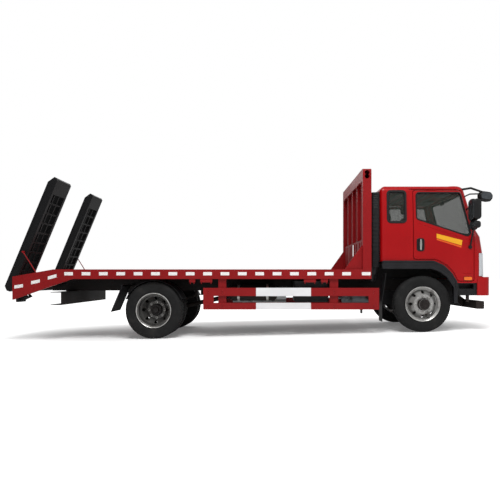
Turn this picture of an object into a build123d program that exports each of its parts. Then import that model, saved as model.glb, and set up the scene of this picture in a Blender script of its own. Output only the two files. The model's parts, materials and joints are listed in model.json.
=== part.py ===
from build123d import *
import os
from math import atan, atan2, cos, degrees, radians, sin, tan

# A flatbed recovery truck with a fixed deck, a beavertail and two fold-down ramps.
# It is modelled with its chassis level: X runs forward from the rear axle, Y to the left
# and Z up from the ground under the rear axle. The front axle sits higher in that frame,
# so the last step turns the whole truck nose down about the rear axle onto its wheels.

# Driving dimensions, in millimetres
wheelbase = 4705.0
front_axle_rise = 109.0
tyre_radius = 495.0
tyre_width = 235.0
rear_outer_tyre_y = 1072.0
dual_spacing = 310.0
front_tyre_y = 1005.0
rail_half_width = 432.0
rail_bottom = 825.0
rail_height = 218.0
deck_half_width = 1250.0
deck_top = 1202.0
deck_rail_height = 158.0
deck_front = 3780.0
deck_rear = -2423.0
tail_top_bend = -1716.0
tail_floor_bend = -1399.0
tail_rear_top = 1077.0
tail_rear_bottom = 685.0
tail_floor_rear = 933.0
floor_rear = -2405.0
cab_rear = 3968.0
cab_half_width = 1125.0
cab_roof = 2690.0
headboard_top = 2955.0
overall_front = 5975.0

# Clearances and general thicknesses
overrun = 20.0
sliding_gap = 0.4
panel_gap = 10.0
moving_gap = 8.0
hinge_gap = 5.0
plate = 8.0
thick_plate = 12.0
sheet = 5.0

# Derived places
rear_axle_z = tyre_radius
front_axle_x = wheelbase
front_axle_z = tyre_radius + front_axle_rise
rail_top = rail_bottom + rail_height
deck_rail_bottom = deck_top - deck_rail_height
rake_degrees = degrees(atan(front_axle_rise / wheelbase))


def span_middle(span):
    return (span[0] + span[1]) / 2


def slab(x_span, y_span, z_span, mode=Mode.ADD):
    """A rectangular block between pairs of limits."""
    middle = tuple(span_middle(span) for span in (x_span, y_span, z_span))
    with Locations(middle):
        Box(*(span[1] - span[0] for span in (x_span, y_span, z_span)), mode=mode)


def side_slab(points, y_span, mode=Mode.ADD, corner=0, shrink=0):
    """A plate whose outline is drawn in the side view, as (x, z) points."""
    with BuildSketch(Plane.XZ.offset(-y_span[1])) as outline:
        with BuildLine():
            Polyline(*points, close=True)
        make_face()
        if shrink:
            offset(amount=-shrink, kind=Kind.INTERSECTION, mode=Mode.REPLACE)
        if corner:
            fillet(outline.vertices(), corner)
    extrude(outline.sketch, amount=y_span[1] - y_span[0], mode=mode)


def front_slab(points, x_span, mode=Mode.ADD, corner=0):
    """A plate whose outline is drawn in the front view, as (y, z) points."""
    with BuildSketch(Plane.YZ.offset(x_span[0])) as outline:
        with BuildLine():
            Polyline(*points, close=True)
        make_face()
        if corner:
            fillet(outline.vertices(), corner)
    extrude(outline.sketch, amount=x_span[1] - x_span[0], mode=mode)


def rod(start, end, radius, mode=Mode.ADD):
    """A round bar between two points."""
    run = Vector(*end) - Vector(*start)
    with Locations(Plane(origin=start, z_dir=run).location):
        Cylinder(radius, run.length, align=(Align.CENTER, Align.CENTER, Align.MIN), mode=mode)


def cross_rod(x, z, y_span, radius, mode=Mode.ADD):
    """A round bar across the truck."""
    rod((x, y_span[0], z), (x, y_span[1], z), radius, mode=mode)


def turned(x, y, z, points, mode=Mode.ADD):
    """A wheel piece: (radius, offset along Y) points turned about a cross axis."""
    with BuildSketch(Plane(origin=(x, y, z), x_dir=(1, 0, 0), z_dir=(0, 0, 1))) as outline:
        with BuildLine():
            Polyline(*points, close=True)
        make_face()
    revolve(outline.sketch, axis=Axis((x, y, z), (0, 1, 0)), mode=mode)


def lerp(a, b, share):
    return a + (b - a) * share


pieces = []


def keep(builder, name):
    """Note a finished sub-part under its node name."""
    builder.part.label = name
    pieces.append(builder)


sides = (("right", -1), ("left", 1))

# Frame: two channel rails with cross members
rail_flange = 75.0
rail_web = 10.0
rail_rear = -2080.0
rail_front = 5640.0
rail_tail_height = 55.0
cross_member_xs = (-1250.0, -700.0, 700.0, 1800.0, 2900.0, 3380.0, 5560.0)
cross_member_height = 120.0
cross_member_length = 70.0
rail_inner = rail_half_width - rail_flange

member_z = (rail_top - rail_web - cross_member_height, rail_top - rail_web)

rail_outline = [
    (rail_rear, rail_bottom),
    (rail_front, rail_bottom),
    (rail_front, rail_top),
    (tail_floor_bend, rail_top),
    (rail_rear, rail_bottom + rail_tail_height),
]
rail_pocket = [
    (rail_rear - overrun, rail_bottom + rail_web),
    (rail_front + overrun, rail_bottom + rail_web),
    (rail_front + overrun, rail_top - rail_web),
    (tail_floor_bend, rail_top - rail_web),
    (rail_rear, rail_bottom + rail_tail_height - rail_web),
    (rail_rear - overrun, rail_bottom + rail_tail_height - rail_web),
]
# Cab tilt brackets at the rails' noses carry a pin for the cab's hinge eyes
tilt_x = 5760.0
tilt_z = 800.0
tilt_boss_radius = 34.0
tilt_pin_radius = 18.0
tilt_boss_width = 60.0
tilt_bracket_length = 100.0
tilt_arm_y = (rail_inner, rail_inner + tilt_boss_width)
tilt_eye_gap = 6.0
boss_share = 0.9
# A packing runner on each rail carries the deck's cross beams
floor_thickness = 6.0
beam_height = 100.0
deck_rail_width = 65.0
floor_underside = deck_top - floor_thickness
runner_x = (tail_floor_bend, deck_front - deck_rail_width)

with BuildPart() as frame_rails:
    side_slab(rail_outline, (rail_inner, rail_half_width))
    slab(runner_x, (rail_inner, rail_half_width), (rail_top, floor_underside - beam_height))
    side_slab(rail_pocket, (rail_inner - overrun, rail_half_width - rail_web), mode=Mode.SUBTRACT)
    side_slab(
        [
            (rail_front - tilt_bracket_length, rail_bottom + rail_web),
            (rail_front - tilt_bracket_length, rail_bottom - rail_web),
            (tilt_x, tilt_z - tilt_boss_radius * boss_share),
            (tilt_x, tilt_z + tilt_boss_radius * boss_share),
            (rail_front, rail_bottom + rail_web),
        ],
        tilt_arm_y,
    )
    cross_rod(tilt_x, tilt_z, tilt_arm_y, tilt_boss_radius)
    cross_rod(tilt_x, tilt_z, (tilt_arm_y[0], tilt_arm_y[1] + tilt_boss_width), tilt_pin_radius)
    mirror(about=Plane.XZ)
    for x in cross_member_xs:
        member_x = (x - cross_member_length / 2, x + cross_member_length / 2)
        slab(member_x, (-rail_half_width + rail_web, rail_half_width - rail_web), member_z)
keep(frame_rails, "frame_rails")

# Leaf springs: curved leaves, each shorter than the one above it
leaf_count = 5
leaf_thickness = 14.0
leaf_width = 70.0
spring_y = (rail_half_width - leaf_width, rail_half_width)
spring_half_length = 640.0
spring_sag = 95.0
axle_tube_radius = 62.0
spring_bend_radius = (spring_half_length**2 + spring_sag**2) / (2 * spring_sag)
spring_seat_height = 20.0
shackle_length = 50.0
leaf_shortening = 95.0


def leaf_spring(axle_x, clamp_base, seat_z):
    """A spring pack on its seat over an axle, with hangers at both ends up to the rail."""
    pack_height = leaf_count * leaf_thickness
    centre_z = seat_z + pack_height + spring_bend_radius
    for leaf in range(leaf_count):
        outer = spring_bend_radius + leaf * leaf_thickness
        half_angle = (spring_half_length - leaf * leaf_shortening) / spring_bend_radius
        corners = []
        for radius, turn in (
            (outer, -half_angle),
            (outer, half_angle),
            (outer + leaf_thickness, half_angle),
            (outer + leaf_thickness, -half_angle),
        ):
            corners.append((axle_x + radius * sin(turn), centre_z - radius * cos(turn)))
        with BuildSketch(Plane.XZ.offset(-spring_y[1])) as leaf_side:
            with BuildLine():
                ThreePointArc(corners[0], (axle_x, centre_z - outer), corners[1])
                Line(corners[1], corners[2])
                ThreePointArc(corners[2], (axle_x, centre_z - outer - leaf_thickness), corners[3])
                Line(corners[3], corners[0])
            make_face()
        extrude(leaf_side.sketch, amount=leaf_width)
    eye_angle = spring_half_length / spring_bend_radius
    eye_z = centre_z - spring_bend_radius * cos(eye_angle)
    for end in (-1, 1):
        eye_x = axle_x + end * spring_bend_radius * sin(eye_angle)
        cross_rod(eye_x, eye_z, spring_y, leaf_thickness * 2)
        slab((eye_x - shackle_length / 2, eye_x + shackle_length / 2), spring_y, (eye_z, rail_bottom))
    clamp_half = axle_tube_radius
    slab((axle_x - clamp_half, axle_x + clamp_half), spring_y, (clamp_base, seat_z + leaf_thickness))
    mirror(about=Plane.XZ)


# Rear axle: a tube with a banjo housing and the drive head
rear_stub_y = rear_outer_tyre_y - dual_spacing / 2
banjo_radius = 205.0
banjo_width = 240.0
drive_head_length = 260.0
drive_head_radius = 95.0
with BuildPart() as rear_axle_housing:
    tube_reach = rear_stub_y - hinge_gap
    cross_rod(0, rear_axle_z, (-tube_reach, tube_reach), axle_tube_radius)
    with BuildSketch(Plane.XZ.offset(-banjo_width / 2)) as banjo_side:
        with Locations((0, rear_axle_z)):
            Circle(banjo_radius)
    extrude(banjo_side.sketch, amount=banjo_width)
    rod((0, 0, rear_axle_z), (drive_head_length, 0, rear_axle_z), drive_head_radius)
keep(rear_axle_housing, "rear_axle_housing")


# Front axle: a beam with a dropped middle and an eye at each end for the kingpin
kingpin_y = 860.0
beam_depth = 84.0
beam_width = 80.0
beam_web = 26.0
beam_drop = 70.0
eye_radius = 42.0
eye_height = 90.0
kingpin_radius = 20.0
beam_bend_inner = 520.0
beam_bend_outer = 640.0
beam_flange = 20.0
front_beam_top = front_axle_z + beam_depth / 2
beam_outline = [
    (-kingpin_y, front_beam_top),
    (-beam_bend_outer, front_beam_top),
    (-beam_bend_inner, front_beam_top - beam_drop),
    (beam_bend_inner, front_beam_top - beam_drop),
    (beam_bend_outer, front_beam_top),
    (kingpin_y, front_beam_top),
    (kingpin_y, front_beam_top - beam_depth),
    (beam_bend_outer, front_beam_top - beam_depth),
    (beam_bend_inner, front_beam_top - beam_drop - beam_depth),
    (-beam_bend_inner, front_beam_top - beam_drop - beam_depth),
    (-beam_bend_outer, front_beam_top - beam_depth),
    (-kingpin_y, front_beam_top - beam_depth),
]
beam_groove = [
    (-kingpin_y, front_beam_top - beam_flange),
    (-beam_bend_outer, front_beam_top - beam_flange),
    (-beam_bend_inner, front_beam_top - beam_drop - beam_flange),
    (beam_bend_inner, front_beam_top - beam_drop - beam_flange),
    (beam_bend_outer, front_beam_top - beam_flange),
    (kingpin_y, front_beam_top - beam_flange),
    (kingpin_y, front_beam_top - beam_depth + beam_flange),
    (beam_bend_outer, front_beam_top - beam_depth + beam_flange),
    (beam_bend_inner, front_beam_top - beam_drop - beam_depth + beam_flange),
    (-beam_bend_inner, front_beam_top - beam_drop - beam_depth + beam_flange),
    (-beam_bend_outer, front_beam_top - beam_depth + beam_flange),
    (-kingpin_y, front_beam_top - beam_depth + beam_flange),
]
with BuildPart() as front_axle_beam:
    front_slab(beam_outline, (front_axle_x - beam_width / 2, front_axle_x + beam_width / 2))
    for side in (-1, 1):
        groove_x = sorted((side * beam_web / 2, side * (beam_width / 2 + overrun)))
        front_slab(beam_groove, [front_axle_x + x for x in groove_x], mode=Mode.SUBTRACT)
    for side in (-1, 1):
        eye_base = (front_axle_x, side * kingpin_y, front_axle_z - eye_height / 2)
        eye_tip = (front_axle_x, side * kingpin_y, front_axle_z + eye_height / 2)
        rod(eye_base, eye_tip, eye_radius)
        rod(eye_base, eye_tip, kingpin_radius + sliding_gap, mode=Mode.SUBTRACT)
keep(front_axle_beam, "front_axle_beam")

with BuildPart() as leaf_springs:
    leaf_spring(0, rear_axle_z, rear_axle_z + axle_tube_radius + spring_seat_height)
    add(rear_axle_housing.part, mode=Mode.SUBTRACT)
    front_seat = front_beam_top - beam_drop
    leaf_spring(front_axle_x, front_seat, front_seat + spring_seat_height)
keep(leaf_springs, "leaf_springs")

# Engine and gearbox: one plain block between the rails
engine_x = (4300.0, 5220.0)
engine_y = (-330.0, 330.0)
engine_z = (720.0, 1430.0)
gearbox_x = (3560.0, 4300.0)
gearbox_radius = 150.0
engine_ledge = 60.0
drive_line_z = 860.0
with BuildPart() as engine_block:
    slab(engine_x, engine_y, engine_z)
    chamfer(engine_block.edges(), engine_ledge)
    rod((gearbox_x[0], 0, drive_line_z), (gearbox_x[1] + engine_ledge, 0, drive_line_z), gearbox_radius)
    foot_base = rail_bottom + rail_web + sliding_gap
    foot_z = (foot_base, foot_base + engine_ledge * 2)
    for foot_x in (gearbox_x[0] + gearbox_radius, engine_x[1] - gearbox_radius):
        foot_reach = rail_half_width - rail_web - sliding_gap
        slab((foot_x - engine_ledge, foot_x + engine_ledge), (-foot_reach, foot_reach), foot_z)
keep(engine_block, "engine_block")

# Propeller shaft in two lengths with a centre bearing
shaft_radius = 44.0
joint_radius = 72.0
joint_length = 90.0
centre_bearing_x = 1800.0
centre_bearing_z = drive_line_z - 30.0
with BuildPart() as drive_shaft:
    knots = (
        (gearbox_x[0], 0, drive_line_z),
        (centre_bearing_x, 0, centre_bearing_z),
        (drive_head_length, 0, rear_axle_z),
    )
    for start, end in zip(knots, knots[1:]):
        rod(start, end, shaft_radius)
    for knot, turn in ((knots[0], -1), (knots[1], -1), (knots[2], 1)):
        rod(knot, (knot[0] + turn * joint_length, 0, knot[2]), joint_radius)
    bearing_x = (centre_bearing_x - joint_length / 2, centre_bearing_x + joint_length / 2)
    bearing_top = member_z[0]
    slab(bearing_x, (-joint_radius, joint_radius), (centre_bearing_z, bearing_top))
    add(rear_axle_housing.part, mode=Mode.SUBTRACT)
    add(engine_block.part, mode=Mode.SUBTRACT)
keep(drive_shaft, "drive_shaft")

# Fuel tank on the left, air tanks and battery box on the right, hung from the rails
tank_x = (1250.0, 2350.0)
tank_y = (rail_half_width + 40.0, 1080.0)
tank_z = (560.0, 1020.0)
tank_corner = 90.0
strap_width = 60.0
strap_places = (0.2, 0.8)
with BuildPart() as fuel_tank:
    slab(tank_x, tank_y, tank_z)
    fillet(fuel_tank.edges().filter_by(Axis.X), tank_corner)
    for share in strap_places:
        strap_x = lerp(tank_x[0], tank_x[1], share)
        strap_span = (strap_x - strap_width / 2, strap_x + strap_width / 2)
        strap_y = (rail_half_width, tank_y[0] + tank_corner)
        slab(strap_span, strap_y, (rail_bottom, rail_top - tank_corner))
    filler_x = tank_x[1] - tank_corner * 2
    filler_y = tank_y[1] - tank_corner * 2
    filler_foot = (filler_x, filler_y, tank_z[1] - overrun)
    rod(filler_foot, (filler_x, filler_y, tank_z[1] + overrun), tank_corner / 2)
keep(fuel_tank, "fuel_tank")

air_tank_radius = 140.0
air_tank_x = (1300.0, 2150.0)
air_tank_ys = (-640.0, -960.0)
air_tank_z = 800.0
battery_x = (2450.0, 3050.0)
battery_y = (-1130.0, -rail_half_width - 40.0)
battery_z = (640.0, 1000.0)
battery_corner = 20.0
with BuildPart() as air_tanks:
    for y in air_tank_ys:
        rod((air_tank_x[0], y, air_tank_z), (air_tank_x[1], y, air_tank_z), air_tank_radius)
    chamfer(air_tanks.edges().filter_by(GeomType.CIRCLE), air_tank_radius / 3)
    for share in strap_places:
        strap_x = lerp(air_tank_x[0], air_tank_x[1], share)
        strap_span = (strap_x - strap_width / 2, strap_x + strap_width / 2)
        strap_top = air_tank_z + air_tank_radius
        strap_z = (strap_top - overrun * 2, strap_top + overrun)
        slab(strap_span, (air_tank_ys[1], -rail_half_width), strap_z)
keep(air_tanks, "air_tanks")

with BuildPart() as battery_box:
    slab(battery_x, battery_y, battery_z)
    chamfer(battery_box.edges(), battery_corner)
    for share in strap_places:
        strap_x = lerp(battery_x[0], battery_x[1], share)
        strap_span = (strap_x - strap_width / 2, strap_x + strap_width / 2)
        strap_y = (battery_y[1] - overrun, -rail_half_width)
        slab(strap_span, strap_y, (rail_bottom, rail_top - strap_width))
keep(battery_box, "battery_box")

# Deck: channel cross beams under a chequer plate floor
beam_flange_width = 50.0
beam_wall = 8.0
deck_beam_pitch = 450.0
deck_inner = deck_half_width - deck_rail_width
tail_slope = atan2(deck_top - tail_floor_rear, tail_floor_bend - floor_rear)


def tail_z(x, drop=0):
    """Height of the sloping floor's top at a place, less a drop."""
    return deck_top - (tail_floor_bend - x) * tan(tail_slope) - drop


deck_beam_count = int((deck_front - tail_floor_bend) / deck_beam_pitch)
with BuildPart() as deck_beams:
    for index in range(deck_beam_count + 1):
        x = lerp(runner_x[0], runner_x[1], index / deck_beam_count)
        web_x = (x, x + beam_wall) if index < deck_beam_count else (x - beam_wall, x)
        reach = (-deck_inner, deck_inner)
        beam_z = (floor_underside - beam_height, floor_underside)
        slab(web_x, reach, beam_z)
        flange_end = x + beam_flange_width if index < deck_beam_count else x - beam_flange_width
        flange_x = sorted((x, flange_end))
        slab(flange_x, reach, (beam_z[0], beam_z[0] + beam_wall))
        slab(flange_x, reach, (beam_z[1] - beam_wall, beam_z[1]))
keep(deck_beams, "deck_beams")

headboard_rear = 3630.0
with BuildPart() as deck_floor:
    side_slab(
        [
            (headboard_rear, deck_top),
            (tail_floor_bend, deck_top),
            (floor_rear, tail_floor_rear),
            (floor_rear, tail_floor_rear - floor_thickness),
            (tail_floor_bend, floor_underside),
            (headboard_rear, floor_underside),
        ],
        (-deck_inner, deck_inner),
    )
keep(deck_floor, "deck_floor")

# Side members: channels open inwards that grow into deep plates along the beavertail
side_outline = [
    (deck_front, deck_rail_bottom),
    (deck_front, deck_top),
    (tail_top_bend, deck_top),
    (deck_rear, tail_rear_top),
    (deck_rear, tail_rear_bottom),
    (tail_floor_bend, deck_rail_bottom),
]
side_pocket = [
    (deck_front + overrun, deck_rail_bottom + plate),
    (deck_front + overrun, deck_top - plate),
    (tail_top_bend, deck_top - plate),
    (deck_rear - overrun, tail_rear_top - plate),
    (deck_rear - overrun, tail_rear_bottom + plate),
    (deck_rear, tail_rear_bottom + plate),
    (tail_floor_bend, deck_rail_bottom + plate),
]
# Thin stay rods rise from the tail plates beside the ramps
stay_radius = 9.0
stay_foot = (-1997.0, 1110.0)
stay_head = (-2250.0, 1513.0)
stay_y = deck_half_width - plate - stay_radius * 2
stay_eye_y = deck_inner
with BuildPart() as deck_side_members:
    side_slab(side_outline, (deck_inner, deck_half_width))
    side_slab(side_pocket, (deck_inner - overrun, deck_half_width - plate), mode=Mode.SUBTRACT)
    rod((stay_foot[0], stay_y, stay_foot[1]), (stay_head[0], stay_y, stay_head[1]), stay_radius)
    cross_rod(stay_foot[0], stay_foot[1], (stay_y - stay_radius * 2, deck_half_width), stay_radius * 2)
    cross_rod(stay_head[0], stay_head[1], (stay_eye_y, stay_y + stay_radius * 2), stay_radius * 2)
    mirror(about=Plane.XZ)
    slab((runner_x[1], deck_front), (-deck_inner, deck_inner), (deck_rail_bottom, deck_top))
keep(deck_side_members, "deck_side_members")

# Beavertail frame: tapered bearers, a cross tube and the ramp hinge plates
ramp_pivot_x = -2500.0
ramp_pivot_z = 900.0
ramp_width = 600.0
ramp_centre_y = deck_half_width * 0.7
ramp_pin_radius = 22.0
hinge_plate_radius = 50.0
hinge_heel_share = 0.4
hinge_side_gap = 6.0
ramp_beam_width = 70.0
ramp_inner_y = ramp_centre_y - ramp_width / 2
ramp_outer_y = ramp_centre_y + ramp_width / 2
tail_cross_x = floor_rear + beam_flange_width + hinge_side_gap
bearer_front_depth = 158.0
bearer_rear_depth = 110.0
hinge_plate_ys = (
    ramp_inner_y + ramp_beam_width + hinge_side_gap,
    ramp_outer_y - ramp_beam_width - hinge_side_gap - thick_plate,
)
with BuildPart() as beavertail_frame:
    bearer = [
        (tail_floor_bend, floor_underside),
        (floor_rear, tail_floor_rear - floor_thickness),
        (floor_rear, tail_floor_rear - floor_thickness - bearer_rear_depth),
        (tail_floor_bend, floor_underside - bearer_front_depth),
    ]
    for y in (rail_half_width, ramp_centre_y, deck_inner - thick_plate):
        side_slab(bearer, (y, y + thick_plate))
    tail_cross_top = tail_z(tail_cross_x - beam_flange_width, floor_thickness + sheet)
    for cross_x in (tail_cross_x, span_middle((deck_rear, tail_floor_bend))):
        cross_top = tail_z(cross_x - beam_flange_width, floor_thickness + sheet)
        slab(
            (cross_x - beam_flange_width, cross_x + beam_flange_width),
            (0, deck_inner),
            (cross_top - beam_height, cross_top),
        )
    for y in hinge_plate_ys:
        side_slab(
            [
                (ramp_pivot_x, ramp_pivot_z - hinge_plate_radius * boss_share),
                (tail_cross_x, tail_cross_top - beam_height + thick_plate),
                (tail_cross_x, tail_cross_top - thick_plate),
                (ramp_pivot_x, ramp_pivot_z + hinge_plate_radius * hinge_heel_share),
            ],
            (y, y + thick_plate),
        )
        cross_rod(ramp_pivot_x, ramp_pivot_z, (y, y + thick_plate), hinge_plate_radius)
    cross_rod(ramp_pivot_x, ramp_pivot_z, (ramp_inner_y, ramp_outer_y), ramp_pin_radius)
    mirror(about=Plane.XZ)
keep(beavertail_frame, "beavertail_frame")

# Ramps: drawn along their own length, u up from the pivot and v from the driving face
ramp_lean = 22.5
ramp_length = 2070.0
ramp_heel = 75.0
ramp_depth = 145.0
ramp_face_offset = 50.0
ramp_tip_plate = 290.0
ramp_tip_chamfer = 60.0
rung_pitch = 185.0
rung_depth = 50.0
rung_thickness = 30.0
rung_face_drop = 12.0
inner_bar_width = 30.0
inner_bar_depth = 60.0
inner_bar_shares = (0.3, 0.7)
ramp_tilt = radians(90.0 - ramp_lean)


def ramp_point(u, v):
    """Side view place of a ramp point: u along the ramp, v behind its driving face."""
    ahead = ramp_face_offset - v
    x = ramp_pivot_x + u * cos(ramp_tilt) + ahead * sin(ramp_tilt)
    z = ramp_pivot_z + u * sin(ramp_tilt) - ahead * cos(ramp_tilt)
    return (x, z)


def ramp_box(u_span, v_span, y_span, mode=Mode.ADD):
    corners = [
        ramp_point(u_span[0], v_span[0]),
        ramp_point(u_span[1], v_span[0]),
        ramp_point(u_span[1], v_span[1]),
        ramp_point(u_span[0], v_span[1]),
    ]
    side_slab(corners, y_span, mode=mode)


rung_count = int((ramp_length - ramp_tip_plate) / rung_pitch)
ramp_far_inner_y = ramp_outer_y - ramp_beam_width
ramp_beam_outline = [
    ramp_point(-ramp_heel + ramp_tip_chamfer / 2, 0),
    ramp_point(ramp_length - ramp_tip_chamfer / 2, 0),
    ramp_point(ramp_length, ramp_tip_chamfer / 2),
    ramp_point(ramp_length, ramp_depth / 2),
    ramp_point(ramp_length - ramp_tip_chamfer * 2, ramp_depth),
    ramp_point(-ramp_heel + ramp_tip_chamfer, ramp_depth),
    ramp_point(-ramp_heel, ramp_depth - ramp_tip_chamfer),
    ramp_point(-ramp_heel, ramp_tip_chamfer / 2),
]
for side_name, side in sides:
    near = sorted((side * ramp_inner_y, side * (ramp_inner_y + ramp_beam_width)))
    far = sorted((side * ramp_outer_y, side * ramp_far_inner_y))
    with BuildPart() as ramp:
        for y_span in (near, far):
            side_slab(ramp_beam_outline, y_span)
            cross_rod(
                ramp_pivot_x,
                ramp_pivot_z,
                (y_span[0] - overrun, y_span[1] + overrun),
                ramp_pin_radius + sliding_gap,
                mode=Mode.SUBTRACT,
            )
        tip_y = sorted((side * (ramp_inner_y + ramp_beam_width), side * ramp_far_inner_y))
        tip_u = (ramp_length - ramp_tip_plate, ramp_length - ramp_tip_chamfer)
        ramp_box(tip_u, (0, ramp_depth / 2), tip_y)
        for index in range(rung_count):
            u = ramp_length - ramp_tip_plate - rung_pitch * (index + 1)
            ramp_box((u, u + rung_thickness), (rung_face_drop, rung_face_drop + rung_depth), tip_y)
        bar_top = rung_face_drop + rung_depth
        for share in inner_bar_shares:
            bar_y = lerp(tip_y[0], tip_y[1], share)
            ramp_box(
                (rung_pitch, ramp_length - ramp_tip_plate),
                (bar_top - rung_thickness, bar_top + inner_bar_depth),
                (bar_y - inner_bar_width / 2, bar_y + inner_bar_width / 2),
            )
    keep(ramp, "ramp_" + side_name)

# Headboard: square posts on a foot plate, a deep top beam, ribs and a stepped panel
post_x = (headboard_rear, deck_front)
post_width = 110.0
top_beam_height = 200.0
rib_width = 60.0
rib_shares = (0.25, 0.5, 0.75)
rib_set_back = 12.0
panel_x = (3700.0, 3706.0)
step_panel_top = 1740.0
step_panel_x = (3660.0, 3666.0)
slot_half_width = 100.0
slot_z = (1486.0, 1713.0)
gusset_toe = 3318.0
gusset_top = 1640.0
beam_eye_radius = 42.0
eye_spread_share = 0.8
gusset_y = (deck_inner + sheet, deck_inner + sheet + thick_plate)
with BuildPart() as headboard_frame:
    for side in (-1, 1):
        post_y = sorted((side * deck_half_width, side * (deck_half_width - post_width)))
        slab(post_x, post_y, (deck_top, headboard_top))
    inside_half = deck_half_width - post_width
    slab(post_x, (-inside_half, inside_half), (headboard_top - top_beam_height, headboard_top))
    fillet(headboard_frame.edges().filter_by(Axis.X).sort_by(Axis.Z)[-2:], beam_eye_radius)
    for share in rib_shares:
        rib_y = lerp(-inside_half, inside_half, share)
        rib_z = (step_panel_top, headboard_top - top_beam_height)
        rib_span = (rib_y - rib_width / 2, rib_y + rib_width / 2)
        slab((post_x[0] + rib_set_back, panel_x[0]), rib_span, rib_z)
    eye_middle = headboard_top - top_beam_height / 2
    eye_spread = beam_eye_radius * eye_spread_share
    for lift in (-eye_spread, eye_spread):
        cross_rod(
            span_middle(post_x),
            eye_middle + lift,
            (-deck_half_width - overrun, deck_half_width + overrun),
            beam_eye_radius,
            mode=Mode.SUBTRACT,
        )
    for y_span in (gusset_y, (-gusset_y[1], -gusset_y[0])):
        side_slab([(post_x[0], deck_top), (gusset_toe, deck_top), (post_x[0], gusset_top)], y_span)
    slab((post_x[0], runner_x[1]), (-deck_inner, deck_inner), (floor_underside, deck_top))
keep(headboard_frame, "headboard_frame")

with BuildPart() as headboard_panel:
    slab(panel_x, (-inside_half, inside_half), (step_panel_top, headboard_top - top_beam_height))
    slab(step_panel_x, (-inside_half, inside_half), (deck_top, step_panel_top))
    ledge_z = (step_panel_top - sheet, step_panel_top)
    slab((step_panel_x[0], panel_x[1]), (-inside_half, inside_half), ledge_z)
    slab((post_x[0], post_x[1]), (-slot_half_width, slot_half_width), slot_z, mode=Mode.SUBTRACT)
keep(headboard_panel, "headboard_panel")

# Side guards: two rails between end plates, hung from the deck sides
guard_x = (872.0, 3913.0)
guard_end_width = 180.0
guard_z = (514.0, 890.0)
guard_upper_z = (749.0, 890.0)
guard_lower_z = (514.0, 631.0)
guard_outer = deck_half_width - sheet
guard_depth = 40.0
guard_lip = 10.0
guard_hanger_spans = ((1130.0, 1268.0), (3062.0, 3211.0))
with BuildPart() as side_guards:
    for rail_z in (guard_upper_z, guard_lower_z):
        slab(guard_x, (guard_outer - guard_depth, guard_outer), rail_z)
        pocket_z = (rail_z[0] + guard_lip, rail_z[1] - guard_lip)
        pocket_y = (guard_outer - guard_depth - guard_lip, guard_outer - guard_lip)
        slab(guard_x, pocket_y, pocket_z, mode=Mode.SUBTRACT)
    for end_x in (guard_x[0], guard_x[1] - guard_end_width):
        slab((end_x, end_x + guard_end_width), (guard_outer - guard_depth, guard_outer), guard_z)
    for hanger_x in guard_hanger_spans:
        hanger_y = (guard_outer - guard_depth - guard_lip, guard_outer - guard_depth)
        slab(hanger_x, hanger_y, (guard_lower_z[0], deck_rail_bottom))
    mirror(about=Plane.XZ)
keep(side_guards, "side_guards")

# Rear underrun bar with its drop arms, and the lamp brackets
underrun_x = (-1795.0, -1603.0)
underrun_z = (590.0, 817.0)
underrun_half = deck_half_width - 70.0
underrun_wall = 10.0
drop_arm_width = 60.0
with BuildPart() as rear_underrun_bar:
    slab(underrun_x, (-underrun_half, underrun_half), underrun_z)
    inner_x = (underrun_x[0] - overrun, underrun_x[1] - underrun_wall)
    inner_z = (underrun_z[0] + underrun_wall, underrun_z[1] - underrun_wall)
    slab(inner_x, (-underrun_half - overrun, underrun_half + overrun), inner_z, mode=Mode.SUBTRACT)
    arm_x = (underrun_x[0], underrun_x[1] - underrun_wall)
    slab(arm_x, (rail_half_width - drop_arm_width, rail_half_width), (underrun_z[0], rail_bottom))
    mirror(about=Plane.XZ)
keep(rear_underrun_bar, "rear_underrun_bar")

lamp_x = (-2405.0, -2365.0)
lamp_y = (deck_half_width - 370.0, deck_half_width - 100.0)
lamp_z = (640.0, 730.0)
lamp_bracket_ys = (lamp_y[0] + 60.0, lamp_y[1] - 70.0)
lamp_bracket_run = 150.0
lamp_hole_radius = 28.0
with BuildPart() as tail_lamps:
    slab(lamp_x, lamp_y, lamp_z)
    bracket_top = tail_z(tail_cross_x - beam_flange_width, floor_thickness + sheet) - beam_height
    for y in lamp_bracket_ys:
        side_slab(
            [
                (lamp_x[1] - thick_plate, lamp_z[0] + thick_plate),
                (lamp_x[1] - thick_plate, bracket_top - thick_plate),
                (tail_cross_x - beam_flange_width + thick_plate, bracket_top),
                (tail_cross_x + beam_flange_width, bracket_top),
                (lamp_x[1] + lamp_bracket_run, lamp_z[1]),
            ],
            (y, y + thick_plate),
        )
        cross_rod(
            lamp_x[1] + lamp_bracket_run / 3,
            lamp_z[1] + thick_plate,
            (y - overrun, y + overrun),
            lamp_hole_radius,
            mode=Mode.SUBTRACT,
        )
    mirror(about=Plane.XZ)
keep(tail_lamps, "tail_lamps")

# Rear mudguards: thin arcs over the twin tyres, with a slanted flap ahead of each
guard_gap = 24.0
mudguard_thickness = 4.0
mudguard_y = (rear_outer_tyre_y - dual_spacing - tyre_width / 2, rear_outer_tyre_y + tyre_width / 2)
mudguard_inner = tyre_radius + guard_gap
mudguard_half_angle = 68.0


def arc_guard(x, z, inner, thickness, half_angle, y_span):
    """A curved sheet over a tyre, centred on the top of the wheel."""
    turn = radians(half_angle)
    outer = inner + thickness
    with BuildSketch(Plane.XZ.offset(-y_span[1])) as guard_side:
        with BuildLine():
            left_in = (x - inner * sin(turn), z + inner * cos(turn))
            right_in = (x + inner * sin(turn), z + inner * cos(turn))
            left_out = (x - outer * sin(turn), z + outer * cos(turn))
            right_out = (x + outer * sin(turn), z + outer * cos(turn))
            ThreePointArc(left_in, (x, z + inner), right_in)
            Line(right_in, right_out)
            ThreePointArc(right_out, (x, z + outer), left_out)
            Line(left_out, left_in)
        make_face()
    extrude(guard_side.sketch, amount=y_span[1] - y_span[0])


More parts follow.
